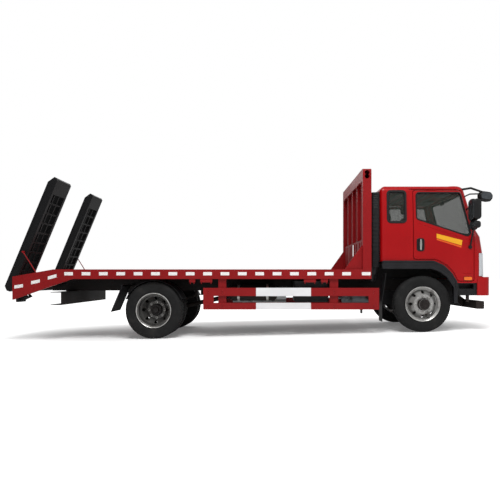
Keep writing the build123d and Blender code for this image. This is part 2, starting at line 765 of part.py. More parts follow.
flap_top = (-540.0, 930.0)
flap_foot = (-735.0, 470.0)
flap_thickness = 10.0
guard_post = 30.0
with BuildPart() as rear_mudguards:
    arc_guard(0, rear_axle_z, mudguard_inner, mudguard_thickness, mudguard_half_angle, mudguard_y)
    post_top = rear_axle_z + mudguard_inner
    slab((-guard_post, guard_post), (rail_half_width, mudguard_y[0]), (post_top - guard_post, post_top))
    side_slab(
        [
            flap_top,
            (flap_top[0] - flap_thickness, flap_top[1]),
            (flap_foot[0] - flap_thickness, flap_foot[1]),
            flap_foot,
        ],
        mudguard_y,
    )
    slab(
        (flap_top[0] - guard_post, flap_top[0]),
        (rail_half_width, mudguard_y[1]),
        (flap_top[1] - flap_thickness, flap_top[1] + flap_thickness),
    )
    mirror(about=Plane.XZ)
keep(rear_mudguards, "rear_mudguards")

# Front mudguards behind the steered wheels
front_guard_y = (front_tyre_y - tyre_width / 2 - overrun, front_tyre_y + tyre_width / 2)
front_guard_x = 3985.0
front_guard_foot_z = 297.0
front_guard_bend_z = 661.0
front_guard_top = (4060.0, 1150.0)
with BuildPart() as front_mudguards:
    side_slab(
        [
            (front_guard_top[0] + flap_thickness, front_guard_top[1]),
            front_guard_top,
            (front_guard_x, front_guard_bend_z),
            (front_guard_x, front_guard_foot_z),
            (front_guard_x + flap_thickness, front_guard_foot_z),
            (front_guard_x + flap_thickness, front_guard_bend_z),
        ],
        front_guard_y,
    )
    guard_arm_x = (front_guard_x, front_guard_x + guard_post)
    guard_arm_y = (rail_half_width, front_guard_y[0] + overrun)
    slab(guard_arm_x, guard_arm_y, (rail_bottom, rail_bottom + guard_post))
    mirror(about=Plane.XZ)
keep(front_mudguards, "front_mudguards")

# Front underrun bar under the nose
front_bar_x = (5657.0, 5797.0)
front_bar_z = (517.0, 657.0)
front_bar_half = 1080.0
with BuildPart() as front_underrun_bar:
    slab(front_bar_x, (-front_bar_half, front_bar_half), front_bar_z)
    fillet(front_underrun_bar.edges().filter_by(Axis.Y), rail_web * 2)
    arm_top_x = rail_front - rail_height
    side_slab(
        [
            (arm_top_x - drop_arm_width, rail_bottom),
            (arm_top_x + drop_arm_width, rail_bottom),
            (front_bar_x[0] + drop_arm_width, front_bar_z[1] - rail_web),
            (front_bar_x[0] + drop_arm_width, front_bar_z[0] + rail_web),
            (front_bar_x[0] - rail_web, front_bar_z[0] + rail_web),
        ],
        (rail_inner, rail_half_width),
    )
    mirror(about=Plane.XZ)
keep(front_underrun_bar, "front_underrun_bar")

# Air intake behind the cab
intake_x = (3815.0, 3950.0)
intake_y = (-1090.0, -930.0)
intake_z = (1260.0, 2569.0)
intake_corner = 30.0
with BuildPart() as air_intake:
    slab(intake_x, intake_y, intake_z)
    fillet(air_intake.edges().filter_by(Axis.Z), intake_corner)
    foot_y = (intake_y[1] - intake_corner * 2, -rail_half_width)
    leg_x = (intake_x[0], intake_x[0] + intake_corner)
    leg_z = (rail_top - guard_post, intake_z[0] + intake_corner * 2)
    slab(leg_x, foot_y, (leg_z[0], rail_top))
    slab(leg_x, (intake_y[0] + intake_corner, intake_y[1]), leg_z)
keep(air_intake, "air_intake")

# Wheels: tyres on disc wheels, twins at the rear
bead_radius = 286.0
bead_half = 95.0
flange_radius = 300.0
flange_half = 114.0
barrel_inner = 270.0
disc_offset = dual_spacing / 2
disc_thickness = 12.0
disc_root = 40.0
bolt_face_radius = 172.0
disc_shoulder = 252.0
stud_circle = 275.0
stud_radius = 11.0
stud_length = 32.0
stud_count = 8
hand_hole_radius = 27.0
hand_hole_circle = 212.0
hub_radius = 94.0
hub_bore_radius = 36.0
hub_length = 70.0
# Section of a tyre: share of the way from the bead to the tread, share of the width
tyre_section = ((0, 0.4), (0.2, 0.47), (0.5, 0.5), (0.8, 0.47), (0.94, 0.41), (1, 0.34))
tyre_half_section = [
    (lerp(bead_radius, tyre_radius, rise), tyre_width * breadth) for rise, breadth in tyre_section
]
tyre_points = tyre_half_section + [(radius, -y) for radius, y in reversed(tyre_half_section)]


def disc_wheel(x, y, z, outward):
    """A rim barrel with a dished disc; outward is the side its bolt face lies on."""
    turned(
        x,
        y,
        z,
        [
            (barrel_inner, -bead_half),
            (flange_radius, -flange_half),
            (bead_radius, -bead_half),
            (bead_radius, bead_half),
            (flange_radius, flange_half),
            (barrel_inner, bead_half),
        ],
    )
    turned(
        x,
        y,
        z,
        [
            (hub_radius, outward * disc_offset),
            (bolt_face_radius, outward * disc_offset),
            (disc_shoulder, outward * disc_root),
            (barrel_inner, outward * disc_root),
            (barrel_inner, outward * (disc_root - disc_thickness)),
            (disc_shoulder - disc_thickness, outward * (disc_root - disc_thickness)),
            (bolt_face_radius - disc_thickness, outward * (disc_offset - disc_thickness)),
            (hub_radius, outward * (disc_offset - disc_thickness)),
        ],
    )
    hole_plane = Plane(origin=(x, y, z), x_dir=(1, 0, 0), z_dir=(0, 1, 0))
    with Locations(hole_plane.location):
        with PolarLocations(hand_hole_circle, stud_count):
            Cylinder(hand_hole_radius, disc_offset * 2 + overrun, mode=Mode.SUBTRACT)


def hub_and_studs(x, y, z, outward, length):
    """A hub that ends in the studs of its wheel; y is the outer bolt face."""
    hub_end = y + outward * hub_length
    hub_start = y - outward * length
    rod((x, hub_start, z), (x, hub_end, z), hub_radius)
    flange_y = sorted((y - outward * disc_thickness, y - outward * disc_thickness * 3))
    rod((x, flange_y[0], z), (x, flange_y[1], z), bolt_face_radius)
    rod((x, hub_start, z), (x, y, z), hub_bore_radius, mode=Mode.SUBTRACT)
    stud_plane = Plane(origin=(x, y, z), x_dir=(1, 0, 0), z_dir=(0, outward, 0))
    with Locations(stud_plane.location):
        with PolarLocations(stud_circle / 2, stud_count):
            Cylinder(stud_radius, stud_length, align=(Align.CENTER, Align.CENTER, Align.MIN))


spindle_radius = hub_bore_radius - sliding_gap
front_hub_length = 150.0
rear_hub_length = 190.0
yoke_thickness = 34.0
yoke_gap = 1.0
yoke_half = 48.0
yoke_web_start = eye_radius + moving_gap
steer_arm_length = 190.0
steer_arm_radius = 16.0
for side_name, side in sides:
    front_y = side * front_tyre_y
    front_face = side * (front_tyre_y + disc_offset)
    with BuildPart() as front_tyre:
        turned(front_axle_x, front_y, front_axle_z, tyre_points)
    keep(front_tyre, "front_tyre_" + side_name)
    with BuildPart() as front_rim:
        disc_wheel(front_axle_x, front_y, front_axle_z, side)
        hub_and_studs(front_axle_x, front_face, front_axle_z, side, front_hub_length)
    keep(front_rim, "front_rim_" + side_name)

    with BuildPart() as knuckle:
        web_start = side * (kingpin_y + yoke_web_start)
        yoke_y = sorted((side * (kingpin_y - yoke_half), web_start))
        web_y = sorted((web_start, web_start + side * yoke_thickness / 2))
        yoke_top = front_axle_z + eye_height / 2 + yoke_gap
        yoke_base = front_axle_z - eye_height / 2 - yoke_gap
        arm_x = (front_axle_x - yoke_half, front_axle_x + yoke_half)
        slab(arm_x, yoke_y, (yoke_top, yoke_top + yoke_thickness))
        slab(arm_x, yoke_y, (yoke_base - yoke_thickness, yoke_base))
        slab(arm_x, web_y, (yoke_base - yoke_thickness, yoke_top + yoke_thickness))
        rod(
            (front_axle_x, side * kingpin_y, yoke_base - yoke_thickness),
            (front_axle_x, side * kingpin_y, yoke_top + yoke_thickness),
            kingpin_radius,
        )
        spindle_y = (web_start, front_face - side * sliding_gap)
        cross_rod(front_axle_x, front_axle_z, spindle_y, spindle_radius)
        arm_z = yoke_base - yoke_thickness / 2
        arm_y = side * (kingpin_y - yoke_half / 2)
        arm_rear = front_axle_x - steer_arm_length
        rod((front_axle_x, arm_y, arm_z), (arm_rear, arm_y, arm_z), steer_arm_radius)
    keep(knuckle, "knuckle_" + side_name)

    rear_outer = side * rear_outer_tyre_y
    rear_inner = side * (rear_outer_tyre_y - dual_spacing)
    with BuildPart() as rear_tyres:
        for y in (rear_outer, rear_inner):
            turned(0, y, rear_axle_z, tyre_points)
    keep(rear_tyres, "rear_tyres_" + side_name)
    with BuildPart() as rear_rims:
        disc_wheel(0, rear_outer, rear_axle_z, -side)
        disc_wheel(0, rear_inner, rear_axle_z, side)
        rear_face = side * (rear_stub_y + disc_thickness)
        hub_and_studs(0, rear_face, rear_axle_z, side, rear_hub_length)
        rod(
            (0, rear_face - side * rear_hub_length, rear_axle_z),
            (0, side * rear_stub_y, rear_axle_z),
            axle_tube_radius + sliding_gap,
            mode=Mode.SUBTRACT,
        )
    keep(rear_rims, "rear_rims_" + side_name)

# Cab shell: ruled sections (height, front, half width) hollowed by the same sections
cab_wall = 55.0
cab_base = 974.0
cab_belt = 1790.0
arch_clearance = 259.0
cab_sill = front_axle_z + tyre_radius + arch_clearance
nose_bow = 60.0
nose_corner = 170.0
rear_corner = 60.0
roof_edge_share = 0.117


def upper(share):
    """Height at a share of the way from the cab's belt line to its roof."""
    return lerp(cab_belt, cab_roof, share)


roof_edge = (cab_roof - cab_belt) * roof_edge_share
# Cab sections: height, nose, how much narrower each side is than the widest
cab_rows = (
    (cab_base, 5850.0, 0),
    (1518.0, 5838.0, 0),
    (cab_belt, 5795.0, 0),
    (upper(0.1222), 5728.0, 4.0),
    (cab_roof, 5505.0, 62.0),
)


def cab_body(inset, round_roof):
    """The cab's closed outer form, drawn inwards by an inset."""
    with BuildPart() as body:
        for height, front, narrowing in cab_rows:
            half = cab_half_width - narrowing
            level = height - inset if height == cab_roof else height
            with BuildSketch(Plane.XY.offset(level)) as section:
                with BuildLine():
                    rear_right = (cab_rear + inset, inset - half)
                    nose_right = (front - nose_bow - inset, inset - half)
                    nose_left = (front - nose_bow - inset, half - inset)
                    rear_left = (cab_rear + inset, half - inset)
                    Line(rear_left, rear_right)
                    Line(rear_right, nose_right)
                    ThreePointArc(nose_right, (front - inset, 0), nose_left)
                    Line(nose_left, rear_left)
                make_face()
                fillet(section.vertices().sort_by(Axis.X)[2:], nose_corner - inset)
                fillet(section.vertices().sort_by(Axis.X)[:2], rear_corner)
        loft(ruled=True)
        if round_roof:
            fillet(body.faces().sort_by(Axis.Z)[-1].outer_wire().edges(), roof_edge)
    return body.part


cab_outer = cab_body(0, True)
cab_inner = cab_body(cab_wall, False)
glass_inset = 22.0
glass_thickness = 6.0
glass_outer = cab_body(glass_inset, False)
glass_inner = cab_body(glass_inset + glass_thickness, False)

arch_bend_x = 4880.0
arch_front_x = 5285.0
# Knees of the wheel arch: share of the way back to its bend, share of its rise
arch_knees = ((0.22, 0.401), (0.55, 0.772))
arch_knee_points = [
    (lerp(arch_front_x, arch_bend_x, back), lerp(cab_base + overrun, cab_sill, rise))
    for back, rise in arch_knees
]
body_side_y = (-cab_half_width - overrun, cab_half_width + overrun)
arch_cut = [
    (cab_rear - overrun, cab_base - overrun),
    (arch_front_x, cab_base - overrun),
    (arch_front_x, cab_base + overrun),
    *arch_knee_points,
    (arch_bend_x, cab_sill),
    (cab_rear - overrun, cab_sill),
]
door_foot_z = 1000.0
door_front_x = 5606.0
door_rear_x = 4536.0
door_top = upper(0.9133)
door_pillar_z = upper(0.0111)
door_pillar_top_x = 5400.0
# The door's lower rear edge follows the wheel arch: x, share of the arch's rise
door_arch_top = cab_sill + 26.0
door_arch = ((5320.0, 0), (5240.0, 0.417), (5110.0, 0.755), (4930.0, 1))
door_arch_points = [(x, lerp(door_foot_z, door_arch_top, rise)) for x, rise in door_arch]
door_outline = [
    (door_front_x, door_foot_z),
    *door_arch_points,
    (door_rear_x, door_arch_points[-1][1]),
    (door_rear_x, door_top),
    (door_pillar_top_x, door_top),
    (door_front_x, door_pillar_z),
]
# Corners of the door window: x, z
door_window_top = upper(0.8611)
door_window = [
    (4601.0, upper(0.3444)),
    (5556.0, cab_belt - 15.0),
    (5376.0, door_window_top),
    (4598.0, door_window_top),
]
window_corner = 55.0
quarter_window_x = (4097.0, 4410.0)
quarter_window_z = (upper(0.2767), upper(0.89))
windscreen_half = 960.0
windscreen_z = (upper(0.0778), upper(0.8889))
screen_corner = 80.0
screen_rear = 5330.0
rear_window_half = 420.0
rear_window_z = (upper(0.3222), upper(0.7667))
quarter_outline = [
    (quarter_window_x[0], quarter_window_z[0]),
    (quarter_window_x[1], quarter_window_z[0]),
    (quarter_window_x[1], quarter_window_z[1]),
    (quarter_window_x[0], quarter_window_z[1]),
]
screen_outline = [
    (-windscreen_half, windscreen_z[0]),
    (windscreen_half, windscreen_z[0]),
    (windscreen_half - window_corner, windscreen_z[1]),
    (window_corner - windscreen_half, windscreen_z[1]),
]
rear_outline = [
    (-rear_window_half, rear_window_z[0]),
    (rear_window_half, rear_window_z[0]),
    (rear_window_half, rear_window_z[1]),
    (-rear_window_half, rear_window_z[1]),
]
wall_depth = cab_wall * 5
right_wall_y = (-cab_half_width - overrun, -cab_half_width + wall_depth)
left_wall_y = (cab_half_width - wall_depth, cab_half_width + overrun)
screen_x = (screen_rear, overall_front)
rear_wall_x = (cab_rear - overrun, cab_rear + cab_wall + overrun)
floor_front = 5740.0
foot_floor_z = 1056.0
tunnel_half = 400.0
tunnel_top = 1560.0
tunnel_front = 5280.0
cab_floor_thickness = 30.0
tilt_eye_y = (tilt_arm_y[1] + tilt_eye_gap, tilt_arm_y[1] + tilt_boss_width - tilt_eye_gap)

# Each door turns on two pins in the shut line of its front edge
door_hinge_x = 5580.0
door_hinge_y = 1114.0
door_pin_radius = 4.0
door_pin_spans = ((cab_base + overrun, 1060.0), (upper(0.0222), upper(0.1356)))
with BuildPart() as cab_shell:
    add(cab_outer)
    add(cab_inner, mode=Mode.SUBTRACT)
    side_slab(arch_cut, body_side_y, mode=Mode.SUBTRACT)
    for wall_y in (right_wall_y, left_wall_y):
        side_slab(door_outline, wall_y, mode=Mode.SUBTRACT, corner=screen_corner / 2)
        side_slab(quarter_outline, wall_y, mode=Mode.SUBTRACT, corner=window_corner)
    front_slab(screen_outline, screen_x, mode=Mode.SUBTRACT, corner=screen_corner)
    front_slab(rear_outline, rear_wall_x, mode=Mode.SUBTRACT, corner=window_corner)
    for side in (-1, 1):
        for pin_z in door_pin_spans:
            pin_foot = (door_hinge_x, side * door_hinge_y, pin_z[0])
            pin_head = (door_hinge_x, side * door_hinge_y, pin_z[1])
            rod(pin_foot, pin_head, door_pin_radius)
keep(cab_shell, "cab_shell")

tilt_arm_outline = [
    (tilt_x - tilt_boss_radius, tilt_z),
    (tilt_x + tilt_boss_radius, tilt_z),
    (floor_front - panel_gap, foot_floor_z + panel_gap),
    (rail_front + moving_gap, foot_floor_z + panel_gap),
]
with BuildPart() as cab_floor:
    floor_half = cab_half_width - cab_wall - moving_gap
    inner_rear = cab_rear + cab_wall
    side_slab(
        [
            (inner_rear, cab_sill),
            (arch_bend_x, cab_sill),
            (arch_front_x + cab_wall, foot_floor_z + cab_floor_thickness),
            (floor_front, foot_floor_z + cab_floor_thickness),
            (floor_front, foot_floor_z),
            (arch_front_x, foot_floor_z),
            (arch_bend_x - cab_floor_thickness, cab_sill - cab_floor_thickness),
            (inner_rear, cab_sill - cab_floor_thickness),
        ],
        (-floor_half, floor_half),
    )
    slab((inner_rear, tunnel_front), (-tunnel_half, tunnel_half), (foot_floor_z, tunnel_top))
    tunnel_inside = tunnel_half - cab_floor_thickness
    slab(
        (inner_rear - overrun, tunnel_front - cab_floor_thickness),
        (-tunnel_inside, tunnel_inside),
        (foot_floor_z - overrun, tunnel_top - cab_floor_thickness),
        mode=Mode.SUBTRACT,
    )
    add(cab_inner, mode=Mode.INTERSECT)
    add(cab_shell.part, mode=Mode.SUBTRACT)
    for side in (-1, 1):
        eye_y = sorted(side * y for y in tilt_eye_y)
        side_slab(tilt_arm_outline, eye_y)
        cross_rod(tilt_x, tilt_z, eye_y, tilt_boss_radius)
        pin_y = (eye_y[0] - overrun, eye_y[1] + overrun)
        cross_rod(tilt_x, tilt_z, pin_y, tilt_pin_radius + sliding_gap, mode=Mode.SUBTRACT)
keep(cab_floor, "cab_floor")

for side_name, side in sides:
    wall_y = right_wall_y if side < 0 else left_wall_y
    with BuildPart() as door:
        add(cab_outer)
        add(cab_inner, mode=Mode.SUBTRACT)
        side_slab(door_outline, wall_y, mode=Mode.INTERSECT, corner=screen_corner / 2, shrink=panel_gap)
        side_slab(door_window, wall_y, mode=Mode.SUBTRACT, corner=window_corner)
        for pin_z in door_pin_spans:
            hole_foot = (door_hinge_x, side * door_hinge_y, pin_z[0] - moving_gap)
            hole_head = (door_hinge_x, side * door_hinge_y, pin_z[1] + moving_gap)
            rod(hole_foot, hole_head, door_pin_radius + sliding_gap, mode=Mode.SUBTRACT)
    keep(door, "door_" + side_name)
    with BuildPart() as door_glass:
        add(glass_outer)
        add(glass_inner, mode=Mode.SUBTRACT)
        side_slab(door_window, wall_y, mode=Mode.INTERSECT, corner=window_corner)
    keep(door_glass, "door_glass_" + side_name)

with BuildPart() as windscreen:
    add(glass_outer)
    add(glass_inner, mode=Mode.SUBTRACT)
    front_slab(screen_outline, screen_x, mode=Mode.INTERSECT, corner=screen_corner)
keep(windscreen, "windscreen")

with BuildPart() as cab_rear_glass:
    for wall_y in (right_wall_y, left_wall_y):
        with BuildPart(mode=Mode.PRIVATE) as pane:
            add(glass_outer)
            add(glass_inner, mode=Mode.SUBTRACT)
            side_slab(quarter_outline, wall_y, mode=Mode.INTERSECT, corner=window_corner)
        add(pane.part)
    glass_x = (cab_rear + glass_inset, cab_rear + glass_inset + glass_thickness)
    front_slab(rear_outline, glass_x, corner=window_corner)
keep(cab_rear_glass, "cab_rear_glass")

# Wheel arches: dark flares round the wheel openings
flare_width = 130.0
flare_out = 40.0
flare_y = (cab_half_width - cab_wall, cab_half_width + flare_out)
flare_tail_z = 620.0
flare_tail_width = 36.0
flare_neck_z = 900.0
# Knees of the flare's inner edge: share of the way back to the arch's bend, share of its rise
flare_knees = ((0.42, 0.579), (0.75, 0.854))
flare_knee_points = [
    (lerp(arch_front_x, arch_bend_x, back), lerp(flare_neck_z, cab_sill - flare_width, rise))
    for back, rise in flare_knees
]
flare_outline = [
    (cab_rear + overrun, cab_sill),
    (arch_bend_x, cab_sill),
    *reversed(arch_knee_points),
    (arch_front_x, cab_base + overrun),
    (arch_front_x, flare_tail_z),
    (arch_front_x - flare_tail_width, flare_tail_z),
    (arch_front_x - flare_out, flare_neck_z),
    *flare_knee_points,
    (arch_bend_x - flare_out, cab_sill - flare_width),
    (cab_rear + overrun, cab_sill - flare_width),
]
with BuildPart() as wheel_arches:
    side_slab(flare_outline, flare_y)
    mirror(about=Plane.XZ)
keep(wheel_arches, "wheel_arches")

# Nose: grille, headlamps, bumper and steps
grille_half = 780.0
grille_z = (1140.0, 1500.0)
grille_x = (5700.0, 5975.0)
grille_depth = 16.0
slat_count = 5
slat_share = 0.55
with BuildPart() as grille:
    slat_pitch = (grille_z[1] - grille_z[0]) / slat_count
    for index in range(slat_count):
        slat_base = grille_z[0] + slat_pitch * index
        slab(grille_x, (-grille_half, grille_half), (slat_base, slat_base + slat_pitch * slat_share))
    for edge in (-1, 1):
        edge_y = sorted((edge * grille_half, edge * (grille_half - slat_pitch)))
        slab(grille_x, edge_y, grille_z)
    add(cab_body(-grille_depth, False), mode=Mode.INTERSECT)
    add(cab_outer, mode=Mode.SUBTRACT)
keep(grille, "grille")

bumper_z = (754.0, 1079.0)
bumper_x = (5656.0, 5895.0)
bumper_half = 1130.0
bumper_wall = 45.0
bumper_corner = 110.0
with BuildPart() as bumper:
    slab(bumper_x, (-bumper_half, bumper_half), bumper_z)
    fillet(bumper.edges().filter_by(Axis.Z).sort_by(Axis.X)[-2:], bumper_corner)
    slab(
        (bumper_x[0] - overrun, bumper_x[1] - bumper_wall),
        (bumper_wall - bumper_half, bumper_half - bumper_wall),
        (bumper_z[0] - overrun, bumper_z[1] + overrun),
        mode=Mode.SUBTRACT,
    )
    add(cab_outer, mode=Mode.SUBTRACT)
keep(bumper, "bumper")

step_x = (5285.0, 5652.0)
step_z = (755.0, cab_base)
step_y = (930.0, 1110.0)
tread_z = (840.0, 870.0)
with BuildPart() as cab_steps:
    slab(step_x, step_y, step_z)
    tread_x = (step_x[0] + cab_wall, step_x[1] - cab_wall)
    tread_y = (step_y[0] + cab_wall, step_y[1] + overrun)
    slab(tread_x, tread_y, (tread_z[1], step_z[1] - overrun), mode=Mode.SUBTRACT)
    mirror(about=Plane.XZ)
keep(cab_steps, "cab_steps")

headlamp_z = (1096.0, 1498.0)
headlamp_y = (800.0, cab_half_width + overrun)
headlamp_x = (5690.0, overall_front)
with BuildPart() as headlamps:
    for lamp_y_span in (headlamp_y, (-headlamp_y[1], -headlamp_y[0])):
        with BuildPart(mode=Mode.PRIVATE) as lamp:
            add(cab_body(-sheet * 2, False))
            add(cab_outer, mode=Mode.SUBTRACT)
            slab(headlamp_x, lamp_y_span, headlamp_z, mode=Mode.INTERSECT)
        add(lamp.part)
keep(headlamps, "headlamps")

# Cab inside: seats, dashboard and steering wheel
seat_width = 500.0
seat_y = 560.0
seat_x = (4560.0, 5060.0)
seat_z = (cab_sill, 1760.0)
seat_back_top = upper(0.7222)
seat_back_depth = 130.0
seat_corner = 40.0
seat_outline = [
    (seat_x[0], seat_z[0]),
    (seat_x[1], seat_z[0]),
    (seat_x[1], seat_z[1]),
    (seat_x[0] + seat_back_depth, seat_z[1] - seat_corner),
    (seat_x[0], seat_back_top),
    (seat_x[0] - seat_back_depth, seat_back_top),
    (seat_x[0] - seat_corner, seat_z[1]),
]
with BuildPart() as seats:
    seat_start = tunnel_half + overrun
    side_slab(seat_outline, (seat_start, seat_start + seat_width), corner=seat_corner / 2)
    mirror(about=Plane.XZ)
keep(seats, "seats")

dash_top = 1840.0
dash_rear = 5330.0
dash_front = 5600.0
dash_base = 1500.0
dash_half = cab_half_width - cab_wall - overrun
with BuildPart() as dashboard:
    side_slab(
        [
            (dash_rear, dash_base),
            (dash_rear - seat_corner, dash_top - seat_corner),
            (dash_rear + seat_corner, dash_top),
            (dash_front, dash_top),
            (dash_front, dash_base),
        ],
        (-dash_half + cab_wall, dash_half - cab_wall),
    )
    console_x = (arch_front_x + cab_wall, dash_front)
    slab(console_x, (-tunnel_half / 2, tunnel_half / 2), (foot_floor_z + cab_floor_thickness, dash_base))
keep(dashboard, "dashboard")

steer_centre = (5180.0, seat_y + 100.0, 1900.0)
steer_radius = 225.0
steer_rim_radius = 16.0
steer_rim_sides = 8
steer_spoke_turns = (90, 210, 330)
steer_lean = radians(35.0)
column_run = 330.0
with BuildPart() as steering_wheel:
    wheel_plane = Plane(origin=steer_centre, z_dir=(-sin(steer_lean), 0, cos(steer_lean)))
    with BuildSketch(Plane(origin=steer_centre, x_dir=wheel_plane.x_dir, z_dir=wheel_plane.y_dir)):
        with Locations((steer_radius, 0)):
            RegularPolygon(steer_rim_radius, steer_rim_sides)
    revolve(axis=Axis(steer_centre, wheel_plane.z_dir))
    with Locations(wheel_plane.location):
        Cylinder(steer_rim_radius * 3, steer_rim_radius * 2)
        for turn in steer_spoke_turns:
            with Locations(Rotation(0, 0, turn)):
                spoke_align = (Align.MIN, Align.CENTER, Align.CENTER)
                Box(steer_radius, steer_rim_radius * 2, steer_rim_radius, align=spoke_align)
    column_end = (
        steer_centre[0] + column_run * sin(steer_lean),
        steer_centre[1],
        steer_centre[2] - column_run * cos(steer_lean),
    )
    rod(steer_centre, column_end, steer_rim_radius * 2)
    add(dashboard.part, mode=Mode.SUBTRACT)
keep(steering_wheel, "steering_wheel")

# Mirrors: one on each door and one on an arm over the nose
mirror_x = (5490.0, 5635.0)
mirror_y = (1180.0, 1390.0)
mirror_z = (upper(0.3), upper(0.7))
mirror_low_x = (5515.0, 5625.0)
mirror_low_height = 125.0
mirror_low_z = (mirror_z[0] - overrun - mirror_low_height, mirror_z[0] - overrun)
mirror_corner = 45.0
mirror_arm_radius = 14.0
mirror_base = (5533.0, 1604.0)
mirror_base_radius = 38.0
for side_name, side in sides:
    with BuildPart() as door_mirror:
        head_y = sorted((side * mirror_y[0], side * mirror_y[1]))
        for head_x, head_z in ((mirror_x, mirror_z), (mirror_low_x, mirror_low_z)):
            slab(head_x, head_y, head_z)
        fillet(door_mirror.edges().filter_by(Axis.Y), mirror_corner)
        arm_y = side * (mirror_y[0] + mirror_corner)
        skin_y = side * (cab_half_width - sliding_gap)
        arm_x = span_middle(mirror_x)
        arm_foot = (arm_x, arm_y, mirror_low_z[0] + mirror_corner)
        rod(arm_foot, (arm_x, arm_y, mirror_z[1] - mirror_corner), mirror_arm_radius)
        rod((mirror_base[0], skin_y, mirror_base[1]), arm_foot, mirror_arm_radius)
        base_y = (side * cab_half_width, side * (cab_half_width + overrun))
        cross_rod(mirror_base[0], mirror_base[1], base_y, mirror_base_radius)
        add(cab_outer, mode=Mode.SUBTRACT)
    keep(door_mirror, "door_mirror_" + side_name)

nose_mirror_x = (5725.0, overall_front)
nose_mirror_height = 175.0
nose_mirror_z = (upper(0.9) - nose_mirror_height, upper(0.9))
nose_mirror_y = (-1130.0, -960.0)
nose_arm_foot = (5420.0, -1010.0, upper(0.9444))
nose_mirror_corner = 80.0
with BuildPart() as nose_mirror:
    slab(nose_mirror_x, nose_mirror_y, nose_mirror_z)
    fillet(nose_mirror.edges().filter_by(Axis.Y), nose_mirror_corner)
    knee_z = nose_mirror_z[1] - mirror_corner
    nose_knee = (span_middle(nose_mirror_x), span_middle(nose_mirror_y), knee_z)
    rod(nose_arm_foot, nose_knee, mirror_arm_radius)
    add(cab_outer, mode=Mode.SUBTRACT)
keep(nose_mirror, "nose_mirror")

# The finished truck stands on its wheels with its middle over the origin
middle_x = span_middle((ramp_pivot_x - ramp_depth / 2, overall_front))
stand = (
    Location((-middle_x, 0, rear_axle_z))
    * Location((0, 0, 0), (0, rake_degrees, 0))
    * Location((0, 0, -rear_axle_z))
)
os.makedirs("parts", exist_ok=True)
for piece in pieces:
    name = piece.part.label
    piece.part.move(stand)
    piece.part.label = name
    export_step(piece.part, "parts/" + name + ".step")
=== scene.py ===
"""A red flatbed recovery truck with a beavertail and fold-down ramps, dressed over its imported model."""

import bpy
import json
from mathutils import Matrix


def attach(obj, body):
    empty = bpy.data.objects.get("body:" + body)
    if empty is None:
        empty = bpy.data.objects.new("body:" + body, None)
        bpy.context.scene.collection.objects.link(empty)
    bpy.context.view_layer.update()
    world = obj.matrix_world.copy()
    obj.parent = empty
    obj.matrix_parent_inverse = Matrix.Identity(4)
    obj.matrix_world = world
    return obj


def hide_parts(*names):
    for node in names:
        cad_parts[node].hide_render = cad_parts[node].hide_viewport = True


bl_info = {
    "name": "Flatbed Recovery Truck",
    "version": (1, 0, 0),
    "blender": (4, 5, 0),
    "location": "View3D > Sidebar > Truck",
    "description": "Builds the paint, tyres, trim and fittings of a flatbed recovery truck",
    "category": "Add Mesh",
}

import json
from math import atan2, cos, pi, radians, sin, tan

import bmesh
import bpy
from mathutils import Euler, Matrix, Vector

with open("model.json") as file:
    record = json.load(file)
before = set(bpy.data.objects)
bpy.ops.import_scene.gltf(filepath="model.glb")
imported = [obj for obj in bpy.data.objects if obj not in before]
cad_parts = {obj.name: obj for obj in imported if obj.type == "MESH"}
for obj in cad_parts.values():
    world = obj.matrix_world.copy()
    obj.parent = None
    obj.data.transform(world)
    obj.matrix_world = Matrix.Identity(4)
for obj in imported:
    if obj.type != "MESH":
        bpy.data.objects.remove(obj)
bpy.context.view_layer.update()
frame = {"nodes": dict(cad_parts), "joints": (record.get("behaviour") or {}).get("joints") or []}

JOINTS = {joint["name"]: joint for joint in frame["joints"]}
REAR_WHEEL = Vector(JOINTS["rear_right_spin"]["pos_m"])
REAR_WHEEL.y = 0.0
DOOR_AXIS = Vector(JOINTS["door_right_hinge"]["axis"])
RAKE = atan2(DOOR_AXIS.x, DOOR_AXIS.z)
# Pieces are modelled on a level chassis, X forward from the rear axle and Z up from the
# ground under it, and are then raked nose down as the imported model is.
STAND = (
    Matrix.Translation(REAR_WHEEL)
    @ Matrix.Rotation(RAKE, 4, "Y")
    @ Matrix.Translation((0, 0, -REAR_WHEEL.z))
)
SIDES = (("right", -1), ("left", 1))


def hex_colour(text):
    """An sRGB hex value as linear red, green, blue and alpha."""
    parts = [int(text[i : i + 2], 16) / 255 for i in (0, 2, 4)]
    linear = [p / 12.92 if p <= 0.04045 else ((p + 0.055) / 1.055) ** 2.4 for p in parts]
    return (*linear, 1.0)


class TruckSizes(bpy.types.PropertyGroup):
    wheelbase: bpy.props.FloatProperty(
        name="Wheelbase", description="Rear axle to front axle", default=4.705, unit="LENGTH"
    )
    front_axle_rise: bpy.props.FloatProperty(
        name="Front axle rise",
        description="How far the front axle lies above the rear one on the level chassis",
        default=0.109,
        unit="LENGTH",
    )
    tyre_radius: bpy.props.FloatProperty(
        name="Tyre radius", description="Outer radius of every tyre", default=0.495, unit="LENGTH"
    )
    tyre_width: bpy.props.FloatProperty(
        name="Tyre width", description="Width over the sidewalls", default=0.235, unit="LENGTH"
    )
    tread_lugs: bpy.props.IntProperty(
        name="Tread lugs", description="Shoulder blocks round a tyre", default=60, min=24
    )
    tape_length: bpy.props.FloatProperty(
        name="Tape length", description="Length of a reflective tape", default=0.150, unit="LENGTH"
    )
    tape_height: bpy.props.FloatProperty(
        name="Tape height", description="Height of a reflective tape", default=0.056, unit="LENGTH"
    )
    tape_pitch: bpy.props.FloatProperty(
        name="Tape pitch", description="From one tape to the next", default=0.300, unit="LENGTH"
    )


